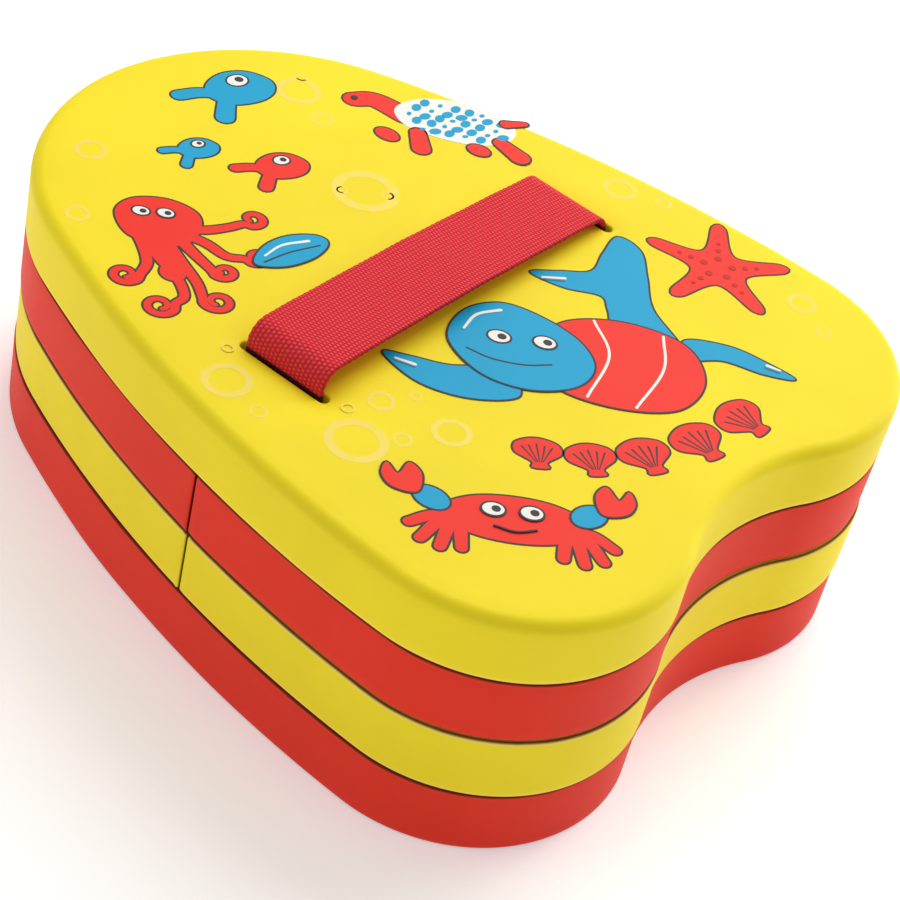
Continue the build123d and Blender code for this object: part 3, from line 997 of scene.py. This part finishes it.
# ---- printed art, in millimetres on the top face ----
class Motif:
    """Shapes placed round a point of the top face and turned by an angle in degrees."""

    def __init__(self, x, y, turn=0.0, size=1.0):
        self.origin, self.size = Vector((x, y)), size
        self.turn = math.radians(turn)

    def at(self, points):
        c, s = math.cos(self.turn) * self.size, math.sin(self.turn) * self.size
        return [self.origin + Vector((x * c - y * s, x * s + y * c)) for x, y in points]

    def oval(self, x, y, wide, high, turn=0.0):
        count = max(20, int((wide + high) * 2.2 * self.size))
        tilt = Matrix.Rotation(math.radians(turn), 2)
        points = [tilt @ Vector((wide * math.cos(math.tau * i / count),
                                 high * math.sin(math.tau * i / count))) + Vector((x, y))
                  for i in range(count)]
        return self.at(points)

    def blob(self, *points):
        """A smooth closed shape through the given points, made to run anticlockwise."""
        loop = []
        size = len(points)
        for i in range(size):
            p = [Vector(points[(i + k) % size]) for k in (-1, 0, 1, 2)]
            steps = max(4, int((p[2] - p[1]).length * self.size / 0.9))
            loop += [smooth_point(p, k / steps) for k in range(steps)]
        area = sum(a.x * b.y - a.y * b.x for a, b in zip(loop, loop[1:] + loop[:1]))
        return self.at(loop if area > 0 else loop[::-1])

    def stroke(self, points, wide, narrow):
        """A tapering line through the given points, with round ends."""
        ends = [Vector(points[0]) * 2 - Vector(points[1])] + [Vector(p) for p in points]
        ends.append(ends[-1] * 2 - ends[-2])
        line = []
        for i in range(1, len(ends) - 2):
            steps = max(3, int((ends[i + 1] - ends[i]).length * self.size / 0.8))
            line += [smooth_point(ends[i - 1:i + 3], k / steps) for k in range(steps)]
        line.append(ends[-2])
        left, right = [], []
        for i, point in enumerate(line):
            way = (line[min(i + 1, len(line) - 1)] - line[max(i - 1, 0)]).normalized()
            radius = (wide + (narrow - wide) * i / (len(line) - 1)) / 2
            side = Vector((-way.y, way.x)) * radius
            left.append(point + side)
            right.append(point - side)
        way = (line[-1] - line[-2]).normalized() * narrow / 2
        back = (line[0] - line[1]).normalized() * wide / 2

        def cap(centre, out, side):
            return [centre + side * math.cos(a) + out * math.sin(a)
                    for a in (math.pi * k / 7 for k in range(1, 7))]

        loop = right + cap(line[-1], way, right[-1] - line[-1]) + left[::-1] + \
            cap(line[0], back, left[0] - line[0])
        return self.at(loop)


def smooth_point(p, t):
    """A point on the smooth curve from p[1] to p[2]."""
    return 0.5 * (2 * p[1] + (p[2] - p[0]) * t + (2 * p[0] - 5 * p[1] + 4 * p[2] - p[3]) * t * t
                  + (3 * p[1] - p[0] - 3 * p[2] + p[3]) * t**3)


def grow(loop, width):
    """A loop moved outwards by a width."""
    size = len(loop)
    moved = []
    for i in range(size):
        way = (loop[(i + 1) % size] - loop[i - 1]).normalized()
        moved.append(loop[i] + Vector((way.y, -way.x)) * width)
    return moved


def winding(x, y, loops):
    """How many times the loops go round a point."""
    total = 0
    for loop in loops:
        ay, ax = loop[-1].y, loop[-1].x
        for point in loop:
            bx, by = point.x, point.y
            if ay <= y < by or by <= y < ay:
                cross = (bx - ax) * (y - ay) - (x - ax) * (by - ay)
                if by > ay and cross > 0:
                    total += 1
                elif by < ay and cross < 0:
                    total -= 1
            ax, ay = bx, by
    return total


class Ink:
    """Thin closed slabs of one ink, each the union of overlapping loops."""

    def __init__(self):
        self.vertices, self.faces = [], []

    def lay(self, loops, level):
        """Prints the union of the loops, at a level above the foam."""
        ink = settings("prints").ink
        step = 0.00003               # each later ink stands this much higher
        low, high = FOAM_TOP - ink, FOAM_TOP + ink + level * step
        points, edges = [], []
        for loop in loops:
            start = len(points)
            points += loop
            edges += [(start + i, start + (i + 1) % len(loop)) for i in range(len(loop))]
        found, _, triangles, _, _, _ = delaunay_2d_cdt(points, edges, [], 0, 1e-5)
        kept = []
        for triangle in triangles:
            a, b, c = (found[i] for i in triangle)
            if winding((a.x + b.x + c.x) / 3, (a.y + b.y + c.y) / 3, loops):
                kept.append(tuple(triangle))
        used = sorted({i for t in kept for i in t})
        place = {v: len(self.vertices) + 2 * k for k, v in enumerate(used)}
        for v in used:
            for z in (low, high):
                self.vertices.append((found[v].x * MM, found[v].y * MM, z))
        sides = {(a, b) for t in kept for a, b in zip(t, t[1:] + t[:1])}
        for t in kept:
            self.faces.append([place[i] + 1 for i in t])
            self.faces.append([place[i] for i in reversed(t)])
        for a, b in sides:
            if (b, a) not in sides:
                self.faces.append((place[a], place[b], place[b] + 1, place[a] + 1))

    def piece(self, name, material):
        mesh = bpy.data.meshes.new(name)
        mesh.from_pydata(self.vertices, [], self.faces)
        mesh.validate()
        mesh.materials.append(material)
        return link(name, mesh)


class Press:
    """The inks of the printed art, gathered motif by motif."""

    def __init__(self):
        self.inks = {name: Ink() for name in ("blue", "red", "dark", "white")}
        self.outline = settings("prints").outline / MM
        self.level = 0

    def fill(self, ink, *loops, outlined=True):
        """One shape in one ink, over what was printed before it in the same motif."""
        if outlined:
            self.inks["dark"].lay([grow(loop, self.outline) for loop in loops], self.level)
            self.level += 1
        self.inks[ink].lay(list(loops), self.level)
        self.level += 1

    def line(self, ink, motif, points, wide, narrow):
        """A bare line in one ink."""
        self.fill(ink, motif.stroke(points, wide, narrow), outlined=False)

    def eye(self, motif, x, y, size):
        self.fill("white", motif.oval(x, y, size, size * 0.8))
        self.fill("dark", motif.oval(x + size * 0.25, y + size * 0.05, size * 0.42, size * 0.42),
                  outlined=False)


def dot_row(motif, x, y, radius):
    """Place and radius of a dot that is printed over a motif's inks."""
    place = motif.at([(x, y)])[0]
    return place.x * MM, place.y * MM, FOAM_TOP + 0.0001, radius * MM


def print_fish(press, x, y, turn, size, ink):
    press.level = 0
    fish = Motif(x, y, turn, size)
    press.fill(ink, fish.blob((15.5, -1), (11, 7.5), (2, 10.5), (-7, 7.5), (-11, 1), (-7, -6.5),
                              (3, -9.5), (11.5, -7.5)),
               fish.stroke([(-7, 1), (-13, 4.5), (-20, 6.2)], 5.2, 5.6),
               fish.stroke([(-6, -3), (-10.5, -8), (-14, -12)], 6.0, 6.6))
    press.eye(fish, 4.5, 4.4, 3.9)


def print_octopus(press):
    press.level = 0
    octopus = Motif(-49, 66, -57.7)

    def curl(x, y, radius, start, turns, *lead):
        way = 1 if turns > 0 else -1
        steps = int(abs(turns) * 9)
        return list(lead) + [
            (x + radius * (1 - 0.62 * k / steps) * math.cos(math.radians(start + way * 40 * k)),
             y + radius * (1 - 0.62 * k / steps) * math.sin(math.radians(start + way * 40 * k)))
            for k in range(steps + 1)]

    arms = [curl(-4, -29, 4.6, 20, -1.3, (-6, -6), (-2, -13), (1, -21)),
            curl(9, -40, 5.0, 30, -1.3, (-1, -8), (3, -16), (11, -25), (15, -33)),
            curl(10, -23, 3.8, 80, 1.25, (2, -8), (5, -14)),
            curl(25, -32, 4.8, 175, 1.25, (4, -8), (10, -16), (17, -25)),
            curl(24, -17, 3.8, 190, 1.2, (8, -6), (13, -11)),
            curl(32, -6, 4.0, 215, 1.15, (9, -3), (16, -5), (23, -9)),
            curl(27, 13, 4.2, 240, 1.1, (9, 0), (15, 2), (21, 6))]
    press.fill("red", *[octopus.stroke(arm, 3.9, 1.7) for arm in arms],
               octopus.blob((-14, 1), (-10.5, 9.5), (0, 13), (10, 9.5), (13, 1), (10, -8), (2, -11),
                            (-8, -9)))
    press.eye(octopus, -6.5, 4.0, 2.6)
    press.eye(octopus, 1.0, 5.6, 2.6)
    shell = Motif(-27, 32, -12)
    press.fill("blue", shell.blob((-13, -1), (-6, 5), (4, 6.5), (13, 3), (14, -2), (6, -6),
                                  (-5, -6)))
    press.line("white", shell, [(-8, 1), (0, 3.2), (9, 1.6)], 0.7, 1.2)
    press.line("dark", shell, [(-10, -1.6), (0, -0.8), (11, -1.8)], 0.6, 0.6)


def print_turtle(press):
    press.level = 0
    turtle = Motif(73.5, 48, -55)
    press.fill("red", turtle.stroke([(-34, 1.5), (-27, 3.5), (-16, -2)], 7.6, 9.5))
    press.fill("red", turtle.oval(-21, -15.5, 4.4, 3.2, -30),
               turtle.stroke([(-11, -11), (-9, -20)], 5.4, 6.4))
    press.fill("red", turtle.oval(10, -14, 4.0, 3.0, -20),
               turtle.stroke([(17, -7), (24, -13.5)], 5.2, 7.0))
    press.fill("red", turtle.stroke([(18, 5), (24.5, 7.5)], 4.0, 2.2))
    press.fill("dark", turtle.oval(-34, 2.4, 1.2, 1.2), outlined=False)
    press.level = 2
    shell = turtle.blob((-20, 1), (-13, 9.5), (0, 13), (13, 11), (21.5, 3), (19, -6), (8, -11.5),
                        (-6, -11), (-16, -7.5))
    press.inks["white"].lay([shell], press.level)
    rows = []
    for j in range(-3, 4):
        for i in range(-5, 6):
            x, y = i * 4.9 + (2.4 if j % 2 else 0), j * 3.9
            if (x / 18.4)**2 + (y / 10.6)**2 < 1:
                big = (i + j * 2) % 3 != 0
                x, y = x + math.sin(i * 5.1 + j) * 0.5, y + math.cos(j * 3.7 + i) * 0.4
                rows.append(dot_row(turtle, x, y, 2.25 if big else 1.1))
    return rows


def print_star(press):
    press.level = 0
    star = Motif(82.4, -57.6, 34)
    points = []
    for i in range(5):
        way = math.radians(72 * i)
        points += [(23 * math.cos(way - 0.09), 23 * math.sin(way - 0.09)),
                   (23 * math.cos(way + 0.09), 23 * math.sin(way + 0.09)),
                   (9.5 * math.cos(way + 0.628), 9.5 * math.sin(way + 0.628))]
    press.fill("red", star.blob(*points))
    rows = []
    for i in range(5):
        for k, reach in enumerate((5.0, 9.5, 13.5)):
            way = math.radians(72 * i)
            x, y = reach * math.cos(way), reach * math.sin(way)
            rows.append(dot_row(star, x, y, 1.25 - 0.25 * k))
    return rows


def print_whale(press):
    press.level = 0
    whale = Motif(14, -67, -57.7)
    press.fill("blue", whale.blob((-31, 37), (-22, 41), (-12, 45), (-9, 56), (-5, 67), (3, 62), (6, 48),
                                  (9, 32), (20, 12), (0, 8), (-5, 26), (-8, 33), (-20, 33)))
    press.fill("blue", whale.blob((20, 20), (34, 22), (46, 18), (55, 13), (45, 12), (32, 14),
                                  (20, 10)))
    press.fill("blue", whale.blob((-70, -20), (-62, -19), (-50, -19), (-34, -15), (-28, -26),
                                  (-42, -32), (-58, -30)))
    press.fill("red", whale.blob((-24, -4), (-19, 14), (0, 21.5), (20, 17), (27, 1), (20, -15),
                                 (2, -21), (-17, -18)))
    for points in ([(-9, 19), (-3, 3), (-8, -19)], [(13, 19), (14, 2), (7, -19)]):
        press.line("white", whale, points, 0.9, 0.9)
    press.fill("blue", whale.blob((-52, -6), (-49, 9), (-38, 17), (-24, 14), (-12, 6), (-7, -5),
                                  (-12, -16), (-26, -22), (-41, -19)))
    press.line("dark", whale, [(-46, -9), (-38, -11.5), (-28, -11), (-20, -8)], 0.7, 0.7)
    press.eye(whale, -37, 0, 3.4)
    press.eye(whale, -23, 2, 3.4)
    for points in ([(-48, 0), (-45, 8), (-38, 13)], [(-27, 35), (-20, 37)],
                   [(-66, -22), (-60, -23)], [(50, 15), (46, 16)]):
        press.line("white", whale, points, 0.8, 1.2)


def print_shells(press):
    for x, y, turn, size in ((-39, -77, -45, 0.95), (-28.5, -89, -36, 1.0), (-14, -98.5, -24, 1.1),
                             (4.5, -105, -12, 1.15), (24.5, -107.5, 2, 1.15)):
        press.level = 0
        shell = Motif(x, y, turn, size)
        press.fill("red", shell.blob((-2.6, -6.2), (-2.4, -3.6), (-7.2, 0.4), (-7.0, 4.4),
                                     (-3.8, 6.6), (0, 7.4), (3.8, 6.6), (7.0, 4.4), (7.2, 0.4),
                                     (2.4, -3.6), (2.6, -6.2)))
        for tip in (-4.8, -2.5, 0, 2.5, 4.8):
            rib = [(tip * 0.22, -3.6), (tip * 0.75, 1.0), (tip, 4.6 - abs(tip) * 0.3)]
            press.line("dark", shell, rib, 0.35, 0.6)
            press.level -= 1


def print_crab(press):
    press.level = 0
    crab = Motif(-66.6, -90.1, -49)
    legs = []
    for tip in ((-30, -6), (-27, -12), (-21.5, -14.5), (-15.5, -14)):
        legs.append(crab.stroke([(-13, -3), ((tip[0] - 15) / 2, tip[1] * 0.35), tip], 4.2, 3.4))
    for tip in ((13, -13.5), (19, -15), (24.5, -13), (28, -7.5)):
        legs.append(crab.stroke([(12, -3), ((tip[0] + 15) / 2, tip[1] * 0.35), tip], 4.2, 3.4))
    press.fill("red", *legs, crab.blob((-21, 1), (-13, 7.5), (0, 9.5), (13, 7.5), (21, 1), (14, -7),
                                       (0, -9.5), (-14, -7)))
    press.fill("blue", crab.oval(-23.5, 5, 5.6, 4.2, -35))
    press.fill("blue", crab.oval(21.5, 5, 5.6, 4.2, 35))
    claw = ((-3.5, -4.5), (3.5, -3.5), (6.5, 1.5), (5, 6.5), (1.8, 2.2), (-1.5, 7.5), (-5, 3))
    for side, middle in ((-1, -31), (1, 29)):
        press.fill("red", crab.blob(*[(middle + side * x, 11 + y) for x, y in claw]))
    press.eye(crab, -6, 3.2, 3.2)
    press.eye(crab, 5, 3.2, 3.2)
    press.line("dark", crab, [(-6, -3.6), (0, -5.2), (6, -3.6)], 0.6, 0.6)


# x, y and radius of each bubble
BUBBLES = ((18, 39, 9.5), (-87, 1, 6.5), (-77, -40, 8.0), (91, -11, 5.0), (90, -86, 4.2),
           (37, 75, 3.2), (-58, -33, 3.6), (43, 91, 6.5), (-39, 106, 4.5), (-52, -55, 5.2),
           (-66, -48, 2.6), (35, -12, 2.4), (-66, 84, 3.4), (22, 33, 1.8), (12, 44, 1.6),
           (-76, 11, 1.7), (-68, -29, 1.8), (83, -99, 2.2), (97, -25, 2.4), (-48, -38, 1.6),
           (-90, -14, 2.4), (50, 96, 1.8))


# ---- operators ----
class MakeStage(bpy.types.Operator):
    """Floor, studio light and camera"""
    bl_idname = "float.make_stage"
    bl_label = "Stage"

    def execute(self, context):
        stage = context.scene.float_stage
        floor = bmesh.new()
        bmesh.ops.create_grid(floor, x_segments=1, y_segments=1, size=6.0)
        mesh = bpy.data.meshes.new("floor")
        floor.to_mesh(mesh)
        floor.free()
        piece = link("floor", mesh)
        paint = Shader("floor_paper", Roughness=0.9, Specular_IOR_Level=0.1, Emission_Strength=0.34)
        paint.surface.inputs["Emission Color"].default_value = (1.0, 1.0, 1.0, 1.0)
        tone = paint.noise(paint.place(), 3.0, 2.0)
        paint.feed("Base Color", paint.mix(tone, (0.90, 0.90, 0.90), (0.92, 0.92, 0.92)))
        mesh.materials.append(paint.material)

        aim = Vector((0.0, 0.0, 0.05))
        for name, place, size, power, tint in (
                ("key_softbox", (0.95, 0.2, 1.25), (1.3, 1.3), 20.3, (1.0, 0.985, 0.96)),
                ("side_softbox", (1.6, -0.6, 0.5), (0.9, 0.8), 9.0, (1.0, 0.99, 0.97)),
                ("left_fill", (-1.25, 1.25, 0.6), (1.0, 0.9), 4.5, (1.0, 1.0, 1.0))):
            lamp = bpy.data.lights.new(name, "AREA")
            lamp.shape, lamp.size, lamp.size_y = "RECTANGLE", size[0], size[1]
            lamp.energy, lamp.color = power, tint
            holder = bpy.data.objects.new(name, lamp)
            holder.location = place
            holder.rotation_euler = (aim - Vector(place)).to_track_quat("-Z", "Y").to_euler()
            context.scene.collection.objects.link(holder)
        world = bpy.data.worlds.new("studio")
        world.use_nodes = True
        sky = world.node_tree.nodes["Background"].inputs
        sky["Color"].default_value, sky["Strength"].default_value = (1.0, 1.0, 1.0, 1.0), 0.41
        context.scene.world = world
        context.scene.view_settings.view_transform = "Standard"

        lens = bpy.data.cameras.new("camera")
        lens.lens, lens.sensor_width, lens.clip_start = stage.lens, 36.0, 0.01
        camera = bpy.data.objects.new("camera", lens)
        a, e, r = stage.azimuth, stage.elevation, stage.roll
        right = Vector((math.cos(a), math.sin(a), 0))
        back = Vector((math.sin(a) * math.cos(e), -math.cos(a) * math.cos(e), math.sin(e)))
        up = back.cross(right)
        axis_x = right * math.cos(r) + up * math.sin(r)
        axis_y = up * math.cos(r) - right * math.sin(r)
        turn = Matrix((axis_x, axis_y, back)).transposed().to_4x4()
        middle = Vector((0.03722, -0.00369, 0))
        camera.matrix_world = Matrix.Translation(middle + back * stage.distance) @ turn
        context.scene.collection.objects.link(camera)
        context.scene.camera = camera
        return {"FINISHED"}


class MakeFoam(bpy.types.Operator):
    """The four foam layers with their slots, slits and belt channel"""
    bl_idname = "float.make_foam"
    bl_label = "Foam layers"

    def execute(self, context):
        foam = context.scene.float_foam
        # The lip colour and share given here are a painted highlight beside each seam.
        red = foam_material("foam_red_skin", tuple(foam.red), (0.86, 0.10, 0.04), 0.3)
        yellow = foam_material("foam_yellow_skin", tuple(foam.yellow), (1.0, 0.76, 0.22), 0.6)
        for i, name in enumerate(LAYERS):
            make_layer(name, yellow if i % 2 else red)
        return {"FINISHED"}


class MakePrints(bpy.types.Operator):
    """The printed sea creatures, shells and bubbles of the top face"""
    bl_idname = "float.make_prints"
    bl_label = "Prints"

    def execute(self, context):
        prints = context.scene.float_prints
        press = Press()
        print_fish(press, 25, 103.5, -8, 0.95, "blue")
        print_fish(press, -11, 87, -14, 0.52, "blue")
        print_fish(press, 4, 64.5, -16, 0.68, "red")
        print_octopus(press)
        spots = print_turtle(press)
        star_dots = print_star(press)
        print_whale(press)
        print_shells(press)
        print_crab(press)
        blue, red = tuple(prints.blue), tuple(prints.red)
        paints = {"blue": ink_material("ink_blue", blue), "red": ink_material("ink_red", red),
                  "dark": ink_material("ink_dark", (0.045, 0.035, 0.04)),
                  "white": ink_material("ink_white", (0.88, 0.88, 0.82))}
        for name, ink in press.inks.items():
            settle(ink.piece("print_" + name, paints[name]), "top", "foam_yellow")

        def scatter(name, rows, tree, **values):
            """Dots or rings of ink at rows of x, y, z and radius."""
            settle(grown(name, point_mesh(name + "_places", rows), tree, **values), "top",
                   "foam_yellow")

        dots = shared_tree("ink dots", dot_tree)
        scatter("print_turtle_spots", spots, dots, Thickness=0.00022, Flatness=0.72, Sides=18,
                Seed=4, Material=paints["blue"])
        scatter("print_star_dots", star_dots, dots, Thickness=0.00022, Flatness=1.0, Sides=16,
                Seed=2, Material=ink_material("ink_coral", scaled(red, 0.62)))
        scatter("print_bubbles", [(x * MM, y * MM, FOAM_TOP, size * MM) for x, y, size in BUBBLES],
                shared_tree("ink rings", ring_tree), Thickness=0.00006, Line=prints.bubble_line,
                Material=ink_material("ink_bubble", (0.95, 0.735, 0.13), wear=0.5))
        return {"FINISHED"}


class MakeWebbing(bpy.types.Operator):
    """The belt's webbing: span, drops, both strands, the folded free end and its hem"""
    bl_idname = "float.make_webbing"
    bl_label = "Webbing"

    def execute(self, context):
        belt = context.scene.float_belt
        paint = webbing_material("webbing_weave", tuple(belt.tint), belt.weave)
        # This copy adds painted shade where the webbing is down in a slot.
        slot_shade_paint = webbing_material("webbing_weave_painted_slot_shade", tuple(belt.tint), belt.weave, FOAM_TOP)
        webbing("webbing_top_span", [top_span_path()], "top", ["belt_top_span"], slot_shade_paint)
        for node, low_body, high_body in (("base", "base", "lower_middle"),
                                          ("lower", "lower_middle", "upper_middle"),
                                          ("upper", "upper_middle", "top")):
            piece = webbing("webbing_drops_" + node, drop_paths(node), None, [], paint, step=0.0012)
            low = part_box(f"belt_drop_right_{node}")[0].z
            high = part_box(f"belt_drop_right_{node}")[1].z
            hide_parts(f"belt_drop_left_{node}", f"belt_drop_right_{node}")
            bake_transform(piece)
        webbing("webbing_socket_strand", [socket_path()], "base", ["belt_socket_strand"], paint,
                step=0.0012)
        strand, tail = plug_paths()
        webbing("webbing_plug_strand", [strand + tail[1:]], "base",
                ["belt_plug_strand", "belt_free_tail"], paint, step=0.0011)
        low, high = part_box("belt_tail_hem")
        mid = (low.z + high.z) / 2
        webbing("webbing_hem", [[(low.x + 0.0003, mid), (high.x - 0.0003, mid)]], "base",
                ["belt_tail_hem"], paint)
        return {"FINISHED"}


class MakeStitches(bpy.types.Operator):
    """The bar tack behind the socket, the rows of the hem and the seam of the keeper"""
    bl_idname = "float.make_stitches"
    bl_label = "Stitches"

    def execute(self, context):
        belt = context.scene.float_belt
        paint = thread_material("sewing_thread", scaled(tuple(belt.tint), 0.8))
        low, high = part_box("belt_bar_tack")
        mid = (low.z + high.z) / 2
        zigzag = []
        count = int((high.y - low.y) / 0.0007)
        for i in range(count + 1):
            x = low.x + 0.0004 if i % 2 else high.x - 0.0004
            zigzag.append((x, low.y + (high.y - low.y) * i / count, mid))
        stitches("stitches_bar_tack", [zigzag], "base", ["belt_bar_tack"], paint, 0.0012)
        low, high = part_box("belt_tail_hem")
        rows = [[(x, low.y + 0.0015, high.z + 0.00005), (x, high.y - 0.0015, high.z + 0.00005)]
                for x in (low.x + 0.002, (low.x + high.x) / 2, high.x - 0.002)]
        stitches("stitches_hem", rows, "base", [], paint, belt.stitch)
        low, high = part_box("belt_keeper")
        side = high.y + 0.00003
        rows = [[(x, side, low.z + 0.0022), (x, side, low.z + 0.0102)]
                for x in (low.x + 0.002, (low.x + high.x) / 2, high.x - 0.002)]
        black = thread_material("keeper_thread", (0.03, 0.03, 0.034))
        stitches("stitches_keeper", rows, "keeper", [], black, 0.0016)
        run_length(socket_path())
        sum(map(run_length, plug_paths()))
        return {"FINISHED"}


class MakeKeeper(bpy.types.Operator):
    """The elastic loop that holds the folded free end"""
    bl_idname = "float.make_keeper"
    bl_label = "Keeper"

    def execute(self, context):
        low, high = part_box("belt_keeper")
        half, bend = 0.0004, 0.0016
        y0, y1, z0, z1 = low.y + half, high.y - half, low.z + half, high.z - half
        mid = (y0 + y1) / 2
        loop = rounded([(mid, z0), (y1, z0), (y1, z1), (y0, z1), (y0, z0), (mid, z0)], [bend] * 4)
        x = (low.x + high.x) / 2
        source = path_curve("keeper", [[(x, y, z) for y, z in loop[:-1]]], cyclic=True)
        piece = grown("elastic_keeper", source, shared_tree("webbing along a path", webbing_tree),
                      Width=high.x - low.x - 0.0002, Thickness=2 * half, Step=0.0006,
                      Lie=(1.0, 0.0, 0.0), Material=elastic_material("elastic_weave"))
        settle(piece, "keeper", "elastic", "belt_keeper")
        return {"FINISHED"}


class MakeBuckle(bpy.types.Operator):
    """The side-release buckle: socket, plug and ribbed prongs, with moulded edges"""
    bl_idname = "float.make_buckle"
    bl_label = "Buckle"

    def execute(self, context):
        paint = moulded_material("buckle_acetal")
        for name, body in (("buckle_socket", "base"), ("buckle_plug", "base"),
                           ("buckle_prong_left", "prong_left"), ("buckle_prong_right", "prong_right")):
            settle(moulded_copy(name, paint), body, "buckle_plastic", name)
        tree = shared_tree("grip ribs", rib_tree)
        for side in ("left", "right"):
            low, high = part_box("buckle_prong_" + side)
            y = high.y if side == "left" else low.y
            z = (low.z + high.z) / 2
            line = [[(low.x + 0.0022, y, z), (low.x + 0.0082, y, z)]]
            ribs = grown("grip_ribs_" + side, path_curve("ribs", line), tree, Count=5, Width=0.0007,
                         Height=(high.z - low.z) * 0.72, Material=paint)
            settle(ribs, "prong_" + side, "buckle_plastic")
        return {"FINISHED"}


class FloatPanel(bpy.types.Panel):
    """The steps that make the float, in order"""
    bl_idname = "VIEW3D_PT_layered_float"
    bl_label = "Layered float"
    bl_space_type = "VIEW_3D"
    bl_region_type = "UI"
    bl_category = "Float"

    def draw(self, context):
        for step in STEPS:
            self.layout.operator(step.bl_idname)
        for group in SETTINGS:
            for key in SETTINGS[group].__annotations__:
                self.layout.prop(getattr(context.scene, "float_" + group), key)


STEPS = (MakeStage, MakeFoam, MakePrints, MakeBuckle, MakeWebbing, MakeKeeper, MakeStitches)
SETTINGS = {"foam": FloatFoamSettings, "prints": FloatPrintSettings, "belt": FloatBeltSettings,
            "stage": FloatStageSettings}


def register():
    for kind in (*SETTINGS.values(), *STEPS, FloatPanel):
        bpy.utils.register_class(kind)
    for group, kind in SETTINGS.items():
        setattr(bpy.types.Scene, "float_" + group, PointerProperty(type=kind))


def unregister():
    for group in SETTINGS:
        delattr(bpy.types.Scene, "float_" + group)
    for kind in reversed((*SETTINGS.values(), *STEPS, FloatPanel)):
        bpy.utils.unregister_class(kind)


def main():
    register()
    for step in STEPS:
        area, action = step.bl_idname.split(".")
        getattr(getattr(bpy.ops, area), action)()


if __name__ == "__main__":
    main()
